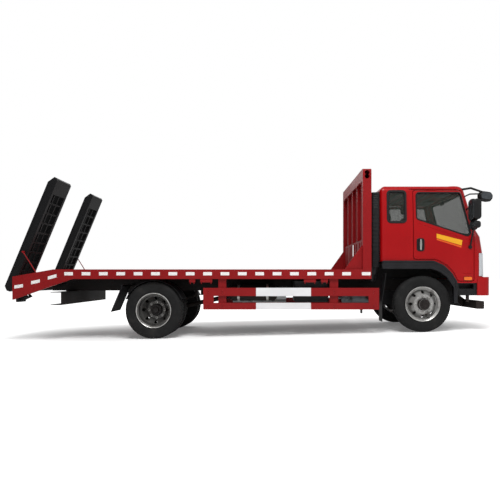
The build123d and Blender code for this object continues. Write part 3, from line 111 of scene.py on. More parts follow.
class TruckColours(bpy.types.PropertyGroup):
    cab_paint: bpy.props.FloatVectorProperty(
        name="Cab paint", description="Gloss enamel of the cab", size=4, min=0, max=1,
        default=hex_colour("94050A"), subtype="COLOR",
    )
    deck_paint: bpy.props.FloatVectorProperty(
        name="Deck paint", description="Enamel of the deck, headboard and guards", size=4,
        min=0, max=1, default=hex_colour("7E060B"), subtype="COLOR",
    )
    chassis_paint: bpy.props.FloatVectorProperty(
        name="Chassis paint", description="Satin black of the frame and axles", size=4,
        min=0, max=1, default=hex_colour("0C0C0D"), subtype="COLOR",
    )
    tape_white: bpy.props.FloatVectorProperty(
        name="Tape white", description="White of the reflective tapes", size=4,
        min=0, max=1, default=hex_colour("E4E1E0"), subtype="COLOR",
    )


def add_node(tree, kind, settings=None, links=None, stops=()):
    """Adds a node with its settings and inputs, links the inputs given as sockets, and
    places a colour ramp's (place, colour) stops."""
    node = tree.nodes.new(kind)
    for name, value in (settings or {}).items():
        setattr(node, name, value)
    for name, value in (links or {}).items():
        socket = node.inputs[name]
        if isinstance(value, bpy.types.NodeSocket):
            tree.links.new(value, socket)
        else:
            socket.default_value = value
    while stops and len(node.color_ramp.elements) < len(stops):
        node.color_ramp.elements.new(0.5)
    for element, (place, colour) in zip(node.color_ramp.elements if stops else (), stops):
        element.position = place
        element.color = colour
    return node


def shade(colour, factor):
    """The same colour, lighter or darker."""
    return (*(min(1.0, channel * factor) for channel in colour[:3]), 1.0)


def start_material(name):
    """An empty material with its shader, and the piece's own coordinates in metres."""
    material = bpy.data.materials.new(name)
    material.use_nodes = True
    tree = material.node_tree
    tree.nodes.clear()
    place = add_node(tree, "ShaderNodeTexCoord").outputs["Object"]
    shader = add_node(tree, "ShaderNodeBsdfPrincipled")
    add_node(tree, "ShaderNodeOutputMaterial", {}, {"Surface": shader.outputs["BSDF"]})
    return material, tree, place, shader


def set_inputs(tree, shader, values):
    """Sets the shader's sockets, or links those given as sockets."""
    for name, value in values.items():
        if isinstance(value, bpy.types.NodeSocket):
            tree.links.new(value, shader.inputs[name])
        else:
            shader.inputs[name].default_value = value


def gloss_enamel(name, colour, roughness, dust, coat=0.3):
    """Two-pack enamel on steel: a clear even colour under a hard gloss, with road dust that
    gathers low down and a faint orange-peel ripple of 3 mm."""
    material, tree, place, shader = start_material(name)
    mottle = add_node(tree, "ShaderNodeTexNoise", {}, {"Vector": place, "Scale": 1.7, "Detail": 5.0})
    height = add_node(tree, "ShaderNodeSeparateXYZ", {}, {"Vector": place}).outputs["Z"]
    low = add_node(tree, "ShaderNodeMapRange", {}, {"Value": height, "From Min": 1.3, "From Max": 0.5})
    film = add_node(
        tree, "ShaderNodeMath", {"operation": "MULTIPLY"}, {0: low.outputs[0], 1: mottle.outputs["Fac"]}
    )
    amount = add_node(
        tree, "ShaderNodeMath", {"operation": "MULTIPLY"}, {0: film.outputs[0], 1: dust}
    )
    even = add_node(
        tree,
        "ShaderNodeValToRGB",
        {},
        {"Fac": mottle.outputs["Fac"]},
        ((0.3, shade(colour, 0.93)), (0.7, shade(colour, 1.05))),
    )
    mix = add_node(tree, "ShaderNodeMix", {"data_type": "RGBA"}, {"Factor": amount.outputs[0]})
    tree.links.new(even.outputs["Color"], mix.inputs["A"])
    mix.inputs["B"].default_value = hex_colour("6E5A50")
    peel = add_node(tree, "ShaderNodeTexNoise", {}, {"Vector": place, "Scale": 330.0, "Detail": 1.0})
    bump = add_node(
        tree, "ShaderNodeBump", {}, {"Height": peel.outputs["Fac"], "Strength": 0.05, "Distance": 0.001}
    )
    rough = add_node(
        tree,
        "ShaderNodeMapRange",
        {},
        {"Value": mottle.outputs["Fac"], "To Min": roughness * 0.8, "To Max": roughness * 1.3},
    )
    set_inputs(
        tree,
        shader,
        {
            "Base Color": mix.outputs["Result"],
            "Roughness": rough.outputs[0],
            "Normal": bump.outputs["Normal"],
            "Coat Weight": coat,
            "Coat Roughness": 0.08,
            "Specular IOR Level": 0.2,
        },
    )
    return material


def grained_plastic(name, colour, roughness, grain):
    """Moulded black ABS or rubber: matt, with a fine leather grain pressed in by the mould."""
    material, tree, place, shader = start_material(name)
    pits = add_node(tree, "ShaderNodeTexVoronoi", {}, {"Vector": place, "Scale": grain})
    cloud = add_node(tree, "ShaderNodeTexNoise", {}, {"Vector": place, "Scale": 6.0, "Detail": 6.0})
    tint = add_node(
        tree,
        "ShaderNodeValToRGB",
        {},
        {"Fac": cloud.outputs["Fac"]},
        ((0.35, shade(colour, 0.8)), (0.7, shade(colour, 1.35))),
    )
    bump = add_node(
        tree, "ShaderNodeBump", {}, {"Height": pits.outputs["Distance"], "Strength": 0.2, "Distance": 0.001}
    )
    rough = add_node(
        tree,
        "ShaderNodeMapRange",
        {},
        {"Value": cloud.outputs["Fac"], "To Min": roughness * 0.85, "To Max": roughness * 1.15},
    )
    set_inputs(
        tree,
        shader,
        {
            "Base Color": tint.outputs["Color"],
            "Roughness": rough.outputs[0],
            "Normal": bump.outputs["Normal"],
            "Specular IOR Level": 0.25,
        },
    )
    return material


def bare_metal(name, colour, roughness, grain, dirt="2B2622"):
    """Cast, rolled or sprayed metal: an even metallic sheen broken by dirt in the hollows."""
    material, tree, place, shader = start_material(name)
    cloud = add_node(tree, "ShaderNodeTexNoise", {}, {"Vector": place, "Scale": 9.0, "Detail": 8.0})
    fine = add_node(tree, "ShaderNodeTexNoise", {}, {"Vector": place, "Scale": grain, "Detail": 2.0})
    tint = add_node(
        tree,
        "ShaderNodeValToRGB",
        {},
        {"Fac": cloud.outputs["Fac"]},
        ((0.28, hex_colour(dirt)), (0.46, shade(colour, 0.85)), (0.75, colour)),
    )
    bump = add_node(
        tree, "ShaderNodeBump", {}, {"Height": fine.outputs["Fac"], "Strength": 0.12, "Distance": 0.001}
    )
    rough = add_node(
        tree,
        "ShaderNodeMapRange",
        {},
        {"Value": cloud.outputs["Fac"], "To Min": roughness * 1.3, "To Max": roughness * 0.8},
    )
    set_inputs(
        tree,
        shader,
        {
            "Base Color": tint.outputs["Color"],
            "Metallic": 0.75,
            "Roughness": rough.outputs[0],
            "Normal": bump.outputs["Normal"],
        },
    )
    return material


def tyre_rubber():
    """Vulcanised rubber: near black, matt, with grey dust on the tread and sidewall."""
    material, tree, place, shader = start_material("tyre_rubber_moulded")
    dust = add_node(tree, "ShaderNodeTexNoise", {}, {"Vector": place, "Scale": 5.0, "Detail": 7.0})
    fine = add_node(tree, "ShaderNodeTexNoise", {}, {"Vector": place, "Scale": 260.0, "Detail": 2.0})
    tint = add_node(
        tree,
        "ShaderNodeValToRGB",
        {},
        {"Fac": dust.outputs["Fac"]},
        ((0.3, hex_colour("0B0B0B")), (0.6, hex_colour("151515")), (0.85, hex_colour("282624"))),
    )
    bump = add_node(
        tree, "ShaderNodeBump", {}, {"Height": fine.outputs["Fac"], "Strength": 0.15, "Distance": 0.001}
    )
    set_inputs(
        tree,
        shader,
        {
            "Base Color": tint.outputs["Color"],
            "Roughness": 0.78,
            "Normal": bump.outputs["Normal"],
            "Specular IOR Level": 0.25,
        },
    )
    return material


def reflective_tape(colour):
    """Prismatic reflective tape: pale film over a honeycomb of cells about 4 mm across."""
    material, tree, place, shader = start_material("reflective_tape_film")
    cells = add_node(
        tree, "ShaderNodeTexVoronoi", {"feature": "DISTANCE_TO_EDGE"}, {"Vector": place, "Scale": 240.0}
    )
    tint = add_node(
        tree,
        "ShaderNodeValToRGB",
        {},
        {"Fac": cells.outputs["Distance"]},
        ((0.0, shade(colour, 0.75)), (0.12, colour)),
    )
    bump = add_node(
        tree, "ShaderNodeBump", {}, {"Height": cells.outputs["Distance"], "Strength": 0.2, "Distance": 0.0005}
    )
    set_inputs(
        tree,
        shader,
        {
            "Base Color": tint.outputs["Color"],
            "Roughness": 0.35,
            "Normal": bump.outputs["Normal"],
            "Coat Weight": 0.5,
        },
    )
    return material


def tinted_glass(name, colour, alpha, roughness=0.04):
    """Toughened safety glass: a thin grey-green tint, dark from outside, with a clean gloss."""
    material, tree, place, shader = start_material(name)
    haze = add_node(tree, "ShaderNodeTexNoise", {}, {"Vector": place, "Scale": 3.0, "Detail": 3.0})
    rough = add_node(
        tree,
        "ShaderNodeMapRange",
        {},
        {"Value": haze.outputs["Fac"], "To Min": roughness * 0.7, "To Max": roughness * 1.5},
    )
    tint = add_node(
        tree,
        "ShaderNodeValToRGB",
        {},
        {"Fac": haze.outputs["Fac"]},
        ((0.3, shade(colour, 0.92)), (0.7, shade(colour, 1.06))),
    )
    set_inputs(
        tree,
        shader,
        {"Base Color": tint.outputs["Color"], "Roughness": rough.outputs[0], "Alpha": alpha},
    )
    return material


def chequer_plate(colour):
    """Rolled chequer plate: painted steel with raised lozenges on a 30 mm grid, worn to a
    duller red along their tops."""
    material, tree, place, shader = start_material("deck_chequer_plate")
    turn = add_node(
        tree, "ShaderNodeMapping", {}, {"Vector": place, "Rotation": (0, 0, radians(45)), "Scale": (1, 1, 0)}
    )
    waves = []
    for direction in ("X", "Y"):
        wave = add_node(
            tree,
            "ShaderNodeTexWave",
            {"wave_type": "BANDS", "bands_direction": direction},
            {"Vector": turn.outputs["Vector"], "Scale": 10.5},
        )
        waves.append(wave.outputs["Fac"])
    peak = add_node(tree, "ShaderNodeMath", {"operation": "MULTIPLY"}, {0: waves[0], 1: waves[1]})
    raised = add_node(
        tree, "ShaderNodeValToRGB", {}, {"Fac": peak.outputs[0]}, ((0.45, (0, 0, 0, 1)), (0.62, (1, 1, 1, 1)))
    )
    wear = add_node(tree, "ShaderNodeTexNoise", {}, {"Vector": place, "Scale": 3.1, "Detail": 8.0})
    worn = add_node(
        tree,
        "ShaderNodeMath",
        {"operation": "MULTIPLY"},
        {0: raised.outputs["Color"], 1: wear.outputs["Fac"]},
    )
    tint = add_node(
        tree,
        "ShaderNodeValToRGB",
        {},
        {"Fac": worn.outputs[0]},
        ((0.3, shade(colour, 0.9)), (0.75, hex_colour("6B5854"))),
    )
    bump = add_node(
        tree, "ShaderNodeBump", {}, {"Height": raised.outputs["Color"], "Strength": 0.7, "Distance": 0.003}
    )
    set_inputs(
        tree,
        shader,
        {"Base Color": tint.outputs["Color"], "Roughness": 0.5, "Normal": bump.outputs["Normal"]},
    )
    return material


def woven_cloth(name, colour):
    """Seat cloth: a flat woven polyester with 2 mm threads and a soft sheen."""
    material, tree, place, shader = start_material(name)
    threads = []
    for direction in ("Y", "Z"):
        wave = add_node(
            tree,
            "ShaderNodeTexWave",
            {"wave_type": "BANDS", "bands_direction": direction},
            {"Vector": place, "Scale": 80.0, "Distortion": 0.6},
        )
        threads.append(wave.outputs["Fac"])
    weave = add_node(tree, "ShaderNodeMath", {"operation": "MAXIMUM"}, {0: threads[0], 1: threads[1]})
    tint = add_node(
        tree, "ShaderNodeValToRGB", {}, {"Fac": weave.outputs[0]}, ((0.2, shade(colour, 0.6)), (0.9, colour))
    )
    bump = add_node(
        tree, "ShaderNodeBump", {}, {"Height": weave.outputs[0], "Strength": 0.35, "Distance": 0.001}
    )
    set_inputs(
        tree,
        shader,
        {
            "Base Color": tint.outputs["Color"],
            "Roughness": 0.9,
            "Normal": bump.outputs["Normal"],
            "Sheen Weight": 0.3,
        },
    )
    return material


def lamp_lens(name, colour, strength=0.0):
    """Moulded acrylic lens: clear deep colour over ribs 6 mm apart."""
    material, tree, place, shader = start_material(name)
    ribs = add_node(
        tree,
        "ShaderNodeTexWave",
        {"wave_type": "BANDS", "bands_direction": "Z"},
        {"Vector": place, "Scale": 26.0},
    )
    tint = add_node(
        tree,
        "ShaderNodeValToRGB",
        {},
        {"Fac": ribs.outputs["Fac"]},
        ((0.0, shade(colour, 0.75)), (0.8, colour)),
    )
    bump = add_node(
        tree, "ShaderNodeBump", {}, {"Height": ribs.outputs["Fac"], "Strength": 0.3, "Distance": 0.001}
    )
    set_inputs(
        tree,
        shader,
        {
            "Base Color": tint.outputs["Color"],
            "Roughness": 0.15,
            "Normal": bump.outputs["Normal"],
            "Coat Weight": 0.6,
        },
    )
    return material


FINISHES = {}


def make_finishes():
    """Every finish of the truck, by the name the pieces use."""
    colours = bpy.context.scene.truck_colours
    FINISHES.update(
        {
            "cab_paint": gloss_enamel("cab_gloss_enamel", tuple(colours.cab_paint), 0.3, 0.04, 0.12),
            "deck_paint": gloss_enamel("deck_satin_enamel", tuple(colours.deck_paint), 0.45, 0.04, 0.02),
            "chassis_paint": gloss_enamel(
                "chassis_black_enamel", tuple(colours.chassis_paint), 0.6, 0.15, 0.0
            ),
            "ramp_paint": gloss_enamel("ramp_black_enamel", hex_colour("08080A"), 0.5, 0.05, 0.05),
            "white_paint": gloss_enamel("guard_white_enamel", hex_colour("D8D8DA"), 0.4, 0.15),
            "black_plastic": grained_plastic("trim_black_abs", hex_colour("111113"), 0.55, 500.0),
            "flare_plastic": grained_plastic("flare_grey_abs", hex_colour("151518"), 0.5, 500.0),
            "seal_rubber": grained_plastic("window_seal_rubber", hex_colour("101011"), 0.65, 900.0),
            "dash_plastic": grained_plastic("dash_grey_abs", hex_colour("2A292B"), 0.7, 700.0),
            "tyre": tyre_rubber(),
            # Painted shade: a darker copy of the wheels' silver lacquer, for the rear rims' deep dished discs
            # that lie in shade
            "wheel_silver_painted_shade": bare_metal("wheel_lacquer_painted_shade", hex_colour("5C5B59"), 0.45, 400.0),
            "wheel_silver": bare_metal("wheel_silver_lacquer", hex_colour("A9A8A6"), 0.38, 400.0),
            "hub_black": gloss_enamel("hub_black_enamel", hex_colour("0B0B0C"), 0.45, 0.1, 0.1),
            "bright_steel": bare_metal("fastener_zinc_steel", hex_colour("B9B8B4"), 0.3, 600.0),
            "engine_grey": bare_metal("engine_cast_iron", hex_colour("6C7074"), 0.6, 150.0),
            "tank_metal": bare_metal("tank_rolled_aluminium", hex_colour("B4B6B8"), 0.33, 300.0),
            "tape": reflective_tape(tuple(colours.tape_white)),
            "glass": tinted_glass("window_tinted_glass", hex_colour("2B302A"), 0.42),
            "clear_lens": lamp_lens("lamp_clear_polycarbonate", hex_colour("C4C8CC")),
            # Painted highlight: a lighter copy of the wheels' silver lacquer for the rim lips, wheel nuts and
            # valves, standing in for the light along the rim edge
            "rim_painted_highlight": bare_metal("rim_edge_painted_highlight", hex_colour("C4C3C0"), 0.3, 400.0, "8E8C88"),
            "mirror_black": grained_plastic("mirror_black_abs", hex_colour("0C0C0D"), 0.5, 500.0),
            "stripe_yellow": gloss_enamel("stripe_yellow_film", hex_colour("D99A1E"), 0.35, 0.1),
            "stripe_orange": gloss_enamel("stripe_orange_film", hex_colour("D2541A"), 0.35, 0.1),
            "lining_fabric": woven_cloth("roof_lining_knit", hex_colour("8C8C88")),
            "mirror_glass": bare_metal("mirror_silvered_glass", hex_colour("62666A"), 0.12, 20.0, "54585C"),
            "deck_plate": chequer_plate(tuple(colours.deck_paint)),
            "seat_cloth": woven_cloth("seat_woven_cloth", hex_colour("4B4C52")),
            "orange_lens": lamp_lens("marker_orange_acrylic", hex_colour("E06A12")),
            "red_lens": lamp_lens("lamp_red_acrylic", hex_colour("B3101A")),
        }
    )


# The cab's outer form: height with the half width, and height with the nose's middle
SIDE_ROWS = ((0.974, 1.125), (1.79, 1.125), (1.9, 1.121), (2.69, 1.063))
NOSE_ROWS = ((0.974, 5.85), (1.518, 5.838), (1.79, 5.795), (1.9, 5.728), (2.69, 5.505))
NOSE_BOW = 0.06


def between(rows, height):
    """The value at a height, straight between the rows above and below it."""
    for (low, first), (high, last) in zip(rows, rows[1:]):
        if height <= high:
            share = max(0.0, (height - low) / (high - low))
            return first + (last - first) * share
    return rows[-1][1]


def wrap_side(verts, side=-1):
    """Lays (x, proud, z) points on the cab's side."""
    for vert in verts:
        vert.co.y = side * (between(SIDE_ROWS, vert.co.z) + vert.co.y)


def wrap_nose(verts):
    """Lays (across, proud, z) points on the cab's bowed nose."""
    for vert in verts:
        across, proud, height = vert.co
        bow = NOSE_BOW * (across / between(SIDE_ROWS, height)) ** 2
        vert.co = (between(NOSE_ROWS, height) - bow + proud, across, height)


def block(bm, x_span, y_span, z_span):
    """A rectangular block between pairs of limits."""
    spans = (x_span, y_span, z_span)
    middle = Vector([(a + b) / 2 for a, b in spans])
    size = Matrix.Diagonal([*(abs(b - a) for a, b in spans), 1.0])
    return bmesh.ops.create_cube(bm, size=1, matrix=Matrix.Translation(middle) @ size)["verts"]


def bar(bm, start, end, radius, segments=14, end_radius=None):
    """A round bar, or a cone, between two points."""
    run = Vector(end) - Vector(start)
    turn = run.to_track_quat("Z", "Y").to_matrix().to_4x4()
    made = bmesh.ops.create_cone(
        bm,
        cap_ends=True,
        segments=segments,
        radius1=radius,
        radius2=radius if end_radius is None else end_radius,
        depth=run.length,
        matrix=Matrix.Translation((Vector(start) + Vector(end)) / 2) @ turn,
    )
    return made["verts"]


def bent_bar(bm, path, radius, segments=10):
    """A round bar along a path, with a ball at each bend."""
    verts = []
    for start, end in zip(path, path[1:]):
        verts += bar(bm, start, end, radius, segments)
    for knee in path[1:-1]:
        ball = bmesh.ops.create_uvsphere(
            bm, u_segments=segments, v_segments=6, radius=radius, matrix=Matrix.Translation(knee)
        )
        verts += ball["verts"]
    return verts


def prism(bm, outline, span, across="Y"):
    """Extrudes an outline along an axis; its points are in the other two axes, in order."""
    order = {"X": (2, 0, 1), "Y": (0, 2, 1), "Z": (0, 1, 2)}[across]
    rings = []
    for end in span:
        points = [(*point, end) for point in outline]
        rings.append([bm.verts.new([point[i] for i in order]) for point in points])
        bm.faces.new(rings[-1])
    for index in range(len(outline)):
        bm.faces.new((rings[0][index], rings[0][index - 1], rings[1][index - 1], rings[1][index]))
    return rings[0] + rings[1]


def rounded(points, radius, steps=5):
    """The outline with each corner turned into an arc of short chords."""
    outline = []
    for index, point in enumerate(points):
        corner = Vector(point)
        before = (Vector(points[index - 1]) - corner).normalized()
        after = (Vector(points[(index + 1) % len(points)]) - corner).normalized()
        half = before.angle(after) / 2
        centre = corner + (before + after).normalized() * (radius / sin(half))
        first = corner + before * (radius / tan(half)) - centre
        last = corner + after * (radius / tan(half)) - centre
        for step in range(steps + 1):
            outline.append(tuple(centre + first.slerp(last, step / steps).normalized() * radius))
    return outline


def rectangle(x_span, z_span):
    """The four corners of a rectangle, anticlockwise."""
    return [(x_span[0], z_span[0]), (x_span[1], z_span[0]), (x_span[1], z_span[1]), (x_span[0], z_span[1])]


def bead(bm, outline, section, closed=True):
    """Sweeps an (outward, proud) section along a side-view outline drawn anticlockwise."""
    points = [Vector(point) for point in outline]
    rings = []
    for index, point in enumerate(points):
        before = points[index - 1] if closed or index else point
        after = points[(index + 1) % len(points)] if closed or index + 1 < len(points) else point
        run = (after - before).normalized()
        ring = [
            bm.verts.new((point.x + run.y * out, proud, point.y - run.x * out))
            for out, proud in section
        ]
        rings.append(ring)
    pairs = list(zip(rings, rings[1:]))
    if closed:
        pairs.append((rings[-1], rings[0]))
    else:
        bm.faces.new(rings[0])
        bm.faces.new(rings[-1])
    for ring, following in pairs:
        for index in range(len(section)):
            bm.faces.new((ring[index], ring[index - 1], following[index - 1], following[index]))
    return [vert for ring in rings for vert in ring]


def lathe(bm, profile, centre, steps, outward=1):
    """(radius, offset) points turned once round a cross axis through the centre."""
    made = bmesh.new()
    verts = [made.verts.new((0, outward * offset, radius)) for radius, offset in profile]
    edges = [made.edges.new(pair) for pair in zip(verts, verts[1:])]
    bmesh.ops.spin(
        made, geom=verts + edges, cent=(0, 0, 0), axis=(0, 1, 0), angle=2 * pi, steps=steps, use_merge=True
    )
    bmesh.ops.remove_doubles(made, verts=made.verts, dist=1e-6)
    bmesh.ops.translate(made, verts=made.verts, vec=centre)
    take_in(bm, made)


def take_in(bm, other):
    """Moves another mesh into this one."""
    part = bpy.data.meshes.new("part")
    other.to_mesh(part)
    other.free()
    bm.from_mesh(part)
    bpy.data.meshes.remove(part)


def round_edges(bm, width, segments=2, angle=radians(40)):
    """Bevels the edges sharper than an angle."""
    bm.normal_update()
    sharp = [e for e in bm.edges if len(e.link_faces) == 2 and abs(e.calc_face_angle(0)) > angle]
    bmesh.ops.bevel(bm, geom=sharp, offset=width, affect="EDGES", segments=segments, profile=0.5)


def mirror_over(bm):
    """Adds the same geometry on the truck's other side."""
    copied = bmesh.ops.duplicate(bm, geom=bm.verts[:] + bm.edges[:] + bm.faces[:])
    verts = [item for item in copied["geom"] if isinstance(item, bmesh.types.BMVert)]
    bmesh.ops.scale(bm, vec=(1, -1, 1), verts=verts)


def finish_piece(bm, name, body, finish):
    """Turns a level-chassis mesh into a piece that rides on its body."""
    bmesh.ops.recalc_face_normals(bm, faces=bm.faces)
    bmesh.ops.transform(bm, matrix=STAND, verts=bm.verts)
    mesh = bpy.data.meshes.new(name)
    bm.to_mesh(mesh)
    bm.free()
    piece = bpy.data.objects.new(name, mesh)
    bpy.context.scene.collection.objects.link(piece)
    mesh.materials.append(FINISHES[finish])
    mesh.shade_smooth()
    mesh.set_sharp_from_angle(angle=radians(35))
    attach(piece, body)
    return piece


def hex_nut(bm, foot, outward, across, height):
    """A hexagon nut on its washer, standing along Y."""
    x, y, z = foot
    tip = y + outward * height
    bar(bm, foot, (x, y + outward * height * 0.15, z), across * 0.7, 16)
    bar(bm, foot, (x, tip - outward * height * 0.2, z), across * 0.577, 6)
    bar(bm, (x, tip - outward * height * 0.2, z), (x, tip, z), across * 0.577, 6, across * 0.42)


def upright_bolt(bm, foot, across, height):
    """A domed bolt head standing along Z."""
    x, y, z = foot
    bar(bm, foot, (x, y, z + height * 0.3), across * 0.75, 12)
    bar(bm, foot, (x, y, z + height), across * 0.5, 8, across * 0.32)


NODE_FINISH = {
    "cab_shell": "cab_paint",
    "cab_floor": "chassis_paint",
    "door_left": "cab_paint",
    "door_right": "cab_paint",
    "bumper": "cab_paint",
    "grille": "black_plastic",
    "wheel_arches": "flare_plastic",
    "cab_steps": "black_plastic",
    "headlamps": "clear_lens",
    "windscreen": "glass",
    "cab_rear_glass": "glass",
    "door_glass_left": "glass",
    "door_glass_right": "glass",
    "door_mirror_left": "mirror_black",
    "door_mirror_right": "mirror_black",
    "nose_mirror": "mirror_black",
    "dashboard": "dash_plastic",
    "steering_wheel": "black_plastic",
    "seats": "seat_cloth",
    "deck_side_members": "deck_paint",
    "deck_beams": "chassis_paint",
    "deck_floor": "deck_plate",
    "headboard_frame": "deck_paint",
    "headboard_panel": "deck_paint",
    "side_guards": "deck_paint",
    "beavertail_frame": "chassis_paint",
    "ramp_left": "ramp_paint",
    "ramp_right": "ramp_paint",
    "frame_rails": "chassis_paint",
    "leaf_springs": "chassis_paint",
    "rear_axle_housing": "chassis_paint",
    "front_axle_beam": "chassis_paint",
    "knuckle_left": "chassis_paint",
    "knuckle_right": "chassis_paint",
    "rear_underrun_bar": "chassis_paint",
    "front_underrun_bar": "chassis_paint",
    "drive_shaft": "chassis_paint",
    "air_tanks": "chassis_paint",
    "battery_box": "black_plastic",
    "fuel_tank": "tank_metal",
    "engine_block": "engine_grey",
    "rear_mudguards": "black_plastic",
    "front_mudguards": "black_plastic",
    "air_intake": "black_plastic",
    "tail_lamps": "black_plastic",
    "front_rim_left": "wheel_silver",
    "front_rim_right": "wheel_silver",
    # The rear rims take the darker copy of the wheel silver, painted shade in their deep dishes
    "rear_rims_left": "wheel_silver_painted_shade",
    "rear_rims_right": "wheel_silver_painted_shade",
    "front_tyre_left": "tyre",
    "front_tyre_right": "tyre",
    "rear_tyres_left": "tyre",
    "rear_tyres_right": "tyre",
}


class TRUCK_OT_finish_frame(bpy.types.Operator):
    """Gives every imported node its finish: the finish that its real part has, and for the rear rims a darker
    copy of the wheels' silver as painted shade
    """

    bl_idname = "truck.finish_frame"
    bl_label = "Finish the packed parts"

    def execute(self, context):
        make_finishes()
        for name, finish in NODE_FINISH.items():
            piece = frame["nodes"][name]
            material = FINISHES[finish]
            if not piece.material_slots:
                piece.data.materials.append(material)
            for slot in piece.material_slots:
                slot.material = material
        return {"FINISHED"}


def tyre_profile(radius, width):
    """A highway tyre's section: (radius, offset) from one bead over four ribs to the other."""
    half = (
        (0.287, 0.098),
        (0.300, 0.110),
        (0.322, 0.1105),
        (0.330, 0.1155),
        (0.380, width / 2),
        (0.430, width / 2 - 0.002),
        (0.448, width / 2 - 0.003),
        (0.458, 0.108),
        (0.474, 0.1015),
        (radius - 0.006, 0.0945),
        (radius - 0.001, 0.087),
        (radius, 0.064),
        (radius - 0.0015, 0.0625),
        (radius - 0.014, 0.0600),
        (radius - 0.014, 0.0530),
        (radius - 0.0015, 0.0505),
        (radius, 0.0490),
        (radius, 0.0210),
        (radius - 0.0015, 0.0195),
        (radius - 0.014, 0.0170),
        (radius - 0.014, 0.0100),
        (radius - 0.0015, 0.0075),
        (radius, 0.0060),
    )
    return [*half, *((r, -y) for r, y in reversed(half)), half[0]]


def add_tyre(bm, centre, sizes):
    """One tyre: the section turned round, and every second shoulder face sunk between lugs."""
    tyre = bmesh.new()
    steps = sizes.tread_lugs * 2
    lathe(tyre, tyre_profile(sizes.tyre_radius, sizes.tyre_width), (0, 0, 0), steps)
    grooves = []
    for face in tyre.faces:
        away = face.calc_center_median()
        reach = Vector((away.x, away.z)).length
        step = int((atan2(away.x, away.z) / (2 * pi) + 1) * steps) % 2
        if 0.066 < abs(away.y) < 0.1 and reach > sizes.tyre_radius - 0.02 and step == 0:
            grooves.append(face)
    bmesh.ops.inset_individual(tyre, faces=grooves, thickness=0.004, depth=0)
    for face in grooves:
        inward = -face.calc_center_median()
        inward.y = 0
        bmesh.ops.translate(tyre, verts=face.verts, vec=inward.normalized() * 0.011)
    bmesh.ops.translate(tyre, verts=tyre.verts, vec=centre)
    take_in(bm, tyre)


def wheel_sets(sizes):
    """Each wheel's body, its tyre node, its tyres' middles and its bolt face, side by side."""
    front_z = sizes.tyre_radius + sizes.front_axle_rise
    for name, side in SIDES:
        front = [(sizes.wheelbase, side * 1.005, front_z)]
        yield "front_wheel_" + name, "front_tyre_" + name, side, front, side * 1.16
        rear = [(0, side * y, sizes.tyre_radius) for y in (1.072, 0.762)]
        yield "rear_wheels_" + name, "rear_tyres_" + name, side, rear, side * 0.929


class TRUCK_OT_tyres(bpy.types.Operator):
    """Builds the tyres with ribs, grooves and shoulder lugs"""

    bl_idname = "truck.tyres"
    bl_label = "Tyres"

    def execute(self, context):
        sizes = context.scene.truck_sizes
        for body, node, side, centres, face_y in wheel_sets(sizes):
            bm = bmesh.new()
            for centre in centres:
                add_tyre(bm, centre, sizes)
            piece = finish_piece(bm, node + "_tread", body, "tyre")
            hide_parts(node)
        return {"FINISHED"}


# Hub covers as (radius, offset out from the bolt face), with their ring of bolts
FRONT_COVER = (
    (0, -0.004), (0.100, -0.004), (0.110, 0.000), (0.110, 0.010), (0.100, 0.016), (0.098, 0.058),
    (0.092, 0.070), (0.080, 0.075), (0.070, 0.074), (0.066, 0.0725), (0.052, 0.0725), (0.048, 0.080),
    (0.030, 0.084), (0, 0.085),
)
REAR_COVER = (
    (0, -0.004), (0.104, -0.004), (0.108, 0.004), (0.108, 0.014), (0.098, 0.020), (0.097, 0.066),
    (0.088, 0.074), (0.062, 0.0735), (0.058, 0.090), (0.048, 0.100), (0.020, 0.104), (0, 0.104),
)
RIM_LIP = (
    (0.293, 0.108), (0.298, 0.106), (0.305, 0.109), (0.308, 0.114), (0.305, 0.119), (0.299, 0.121),
    (0.293, 0.117), (0.293, 0.108),
)


BRAKE_DRUM_RADIUS = 0.225
BRAKE_DRUM_WALL = 0.007
BRAKE_DRUM_FLANGE = 0.010
BRAKE_DRUM_HOLE = 0.096
FRONT_DRUM_SPAN = (0.945, 1.050)
REAR_DRUM_SPAN = (0.700, 0.800)
STUDS = 8
STUD_CIRCLE_RADIUS = 0.1375
VALVE_RADIUS = 0.262


def brake_drum(bm, centre, side, back, front):
    """A cast drum between two distances from the truck's middle, its flange behind the disc."""
    inner = BRAKE_DRUM_RADIUS - BRAKE_DRUM_WALL
    behind = front - BRAKE_DRUM_FLANGE
    profile = [(BRAKE_DRUM_HOLE, front), (BRAKE_DRUM_RADIUS, front), (BRAKE_DRUM_RADIUS, back), (inner, back)]
    profile += [(inner, behind), (BRAKE_DRUM_HOLE, behind), (BRAKE_DRUM_HOLE, front)]
    lathe(bm, profile, centre, 48, side)


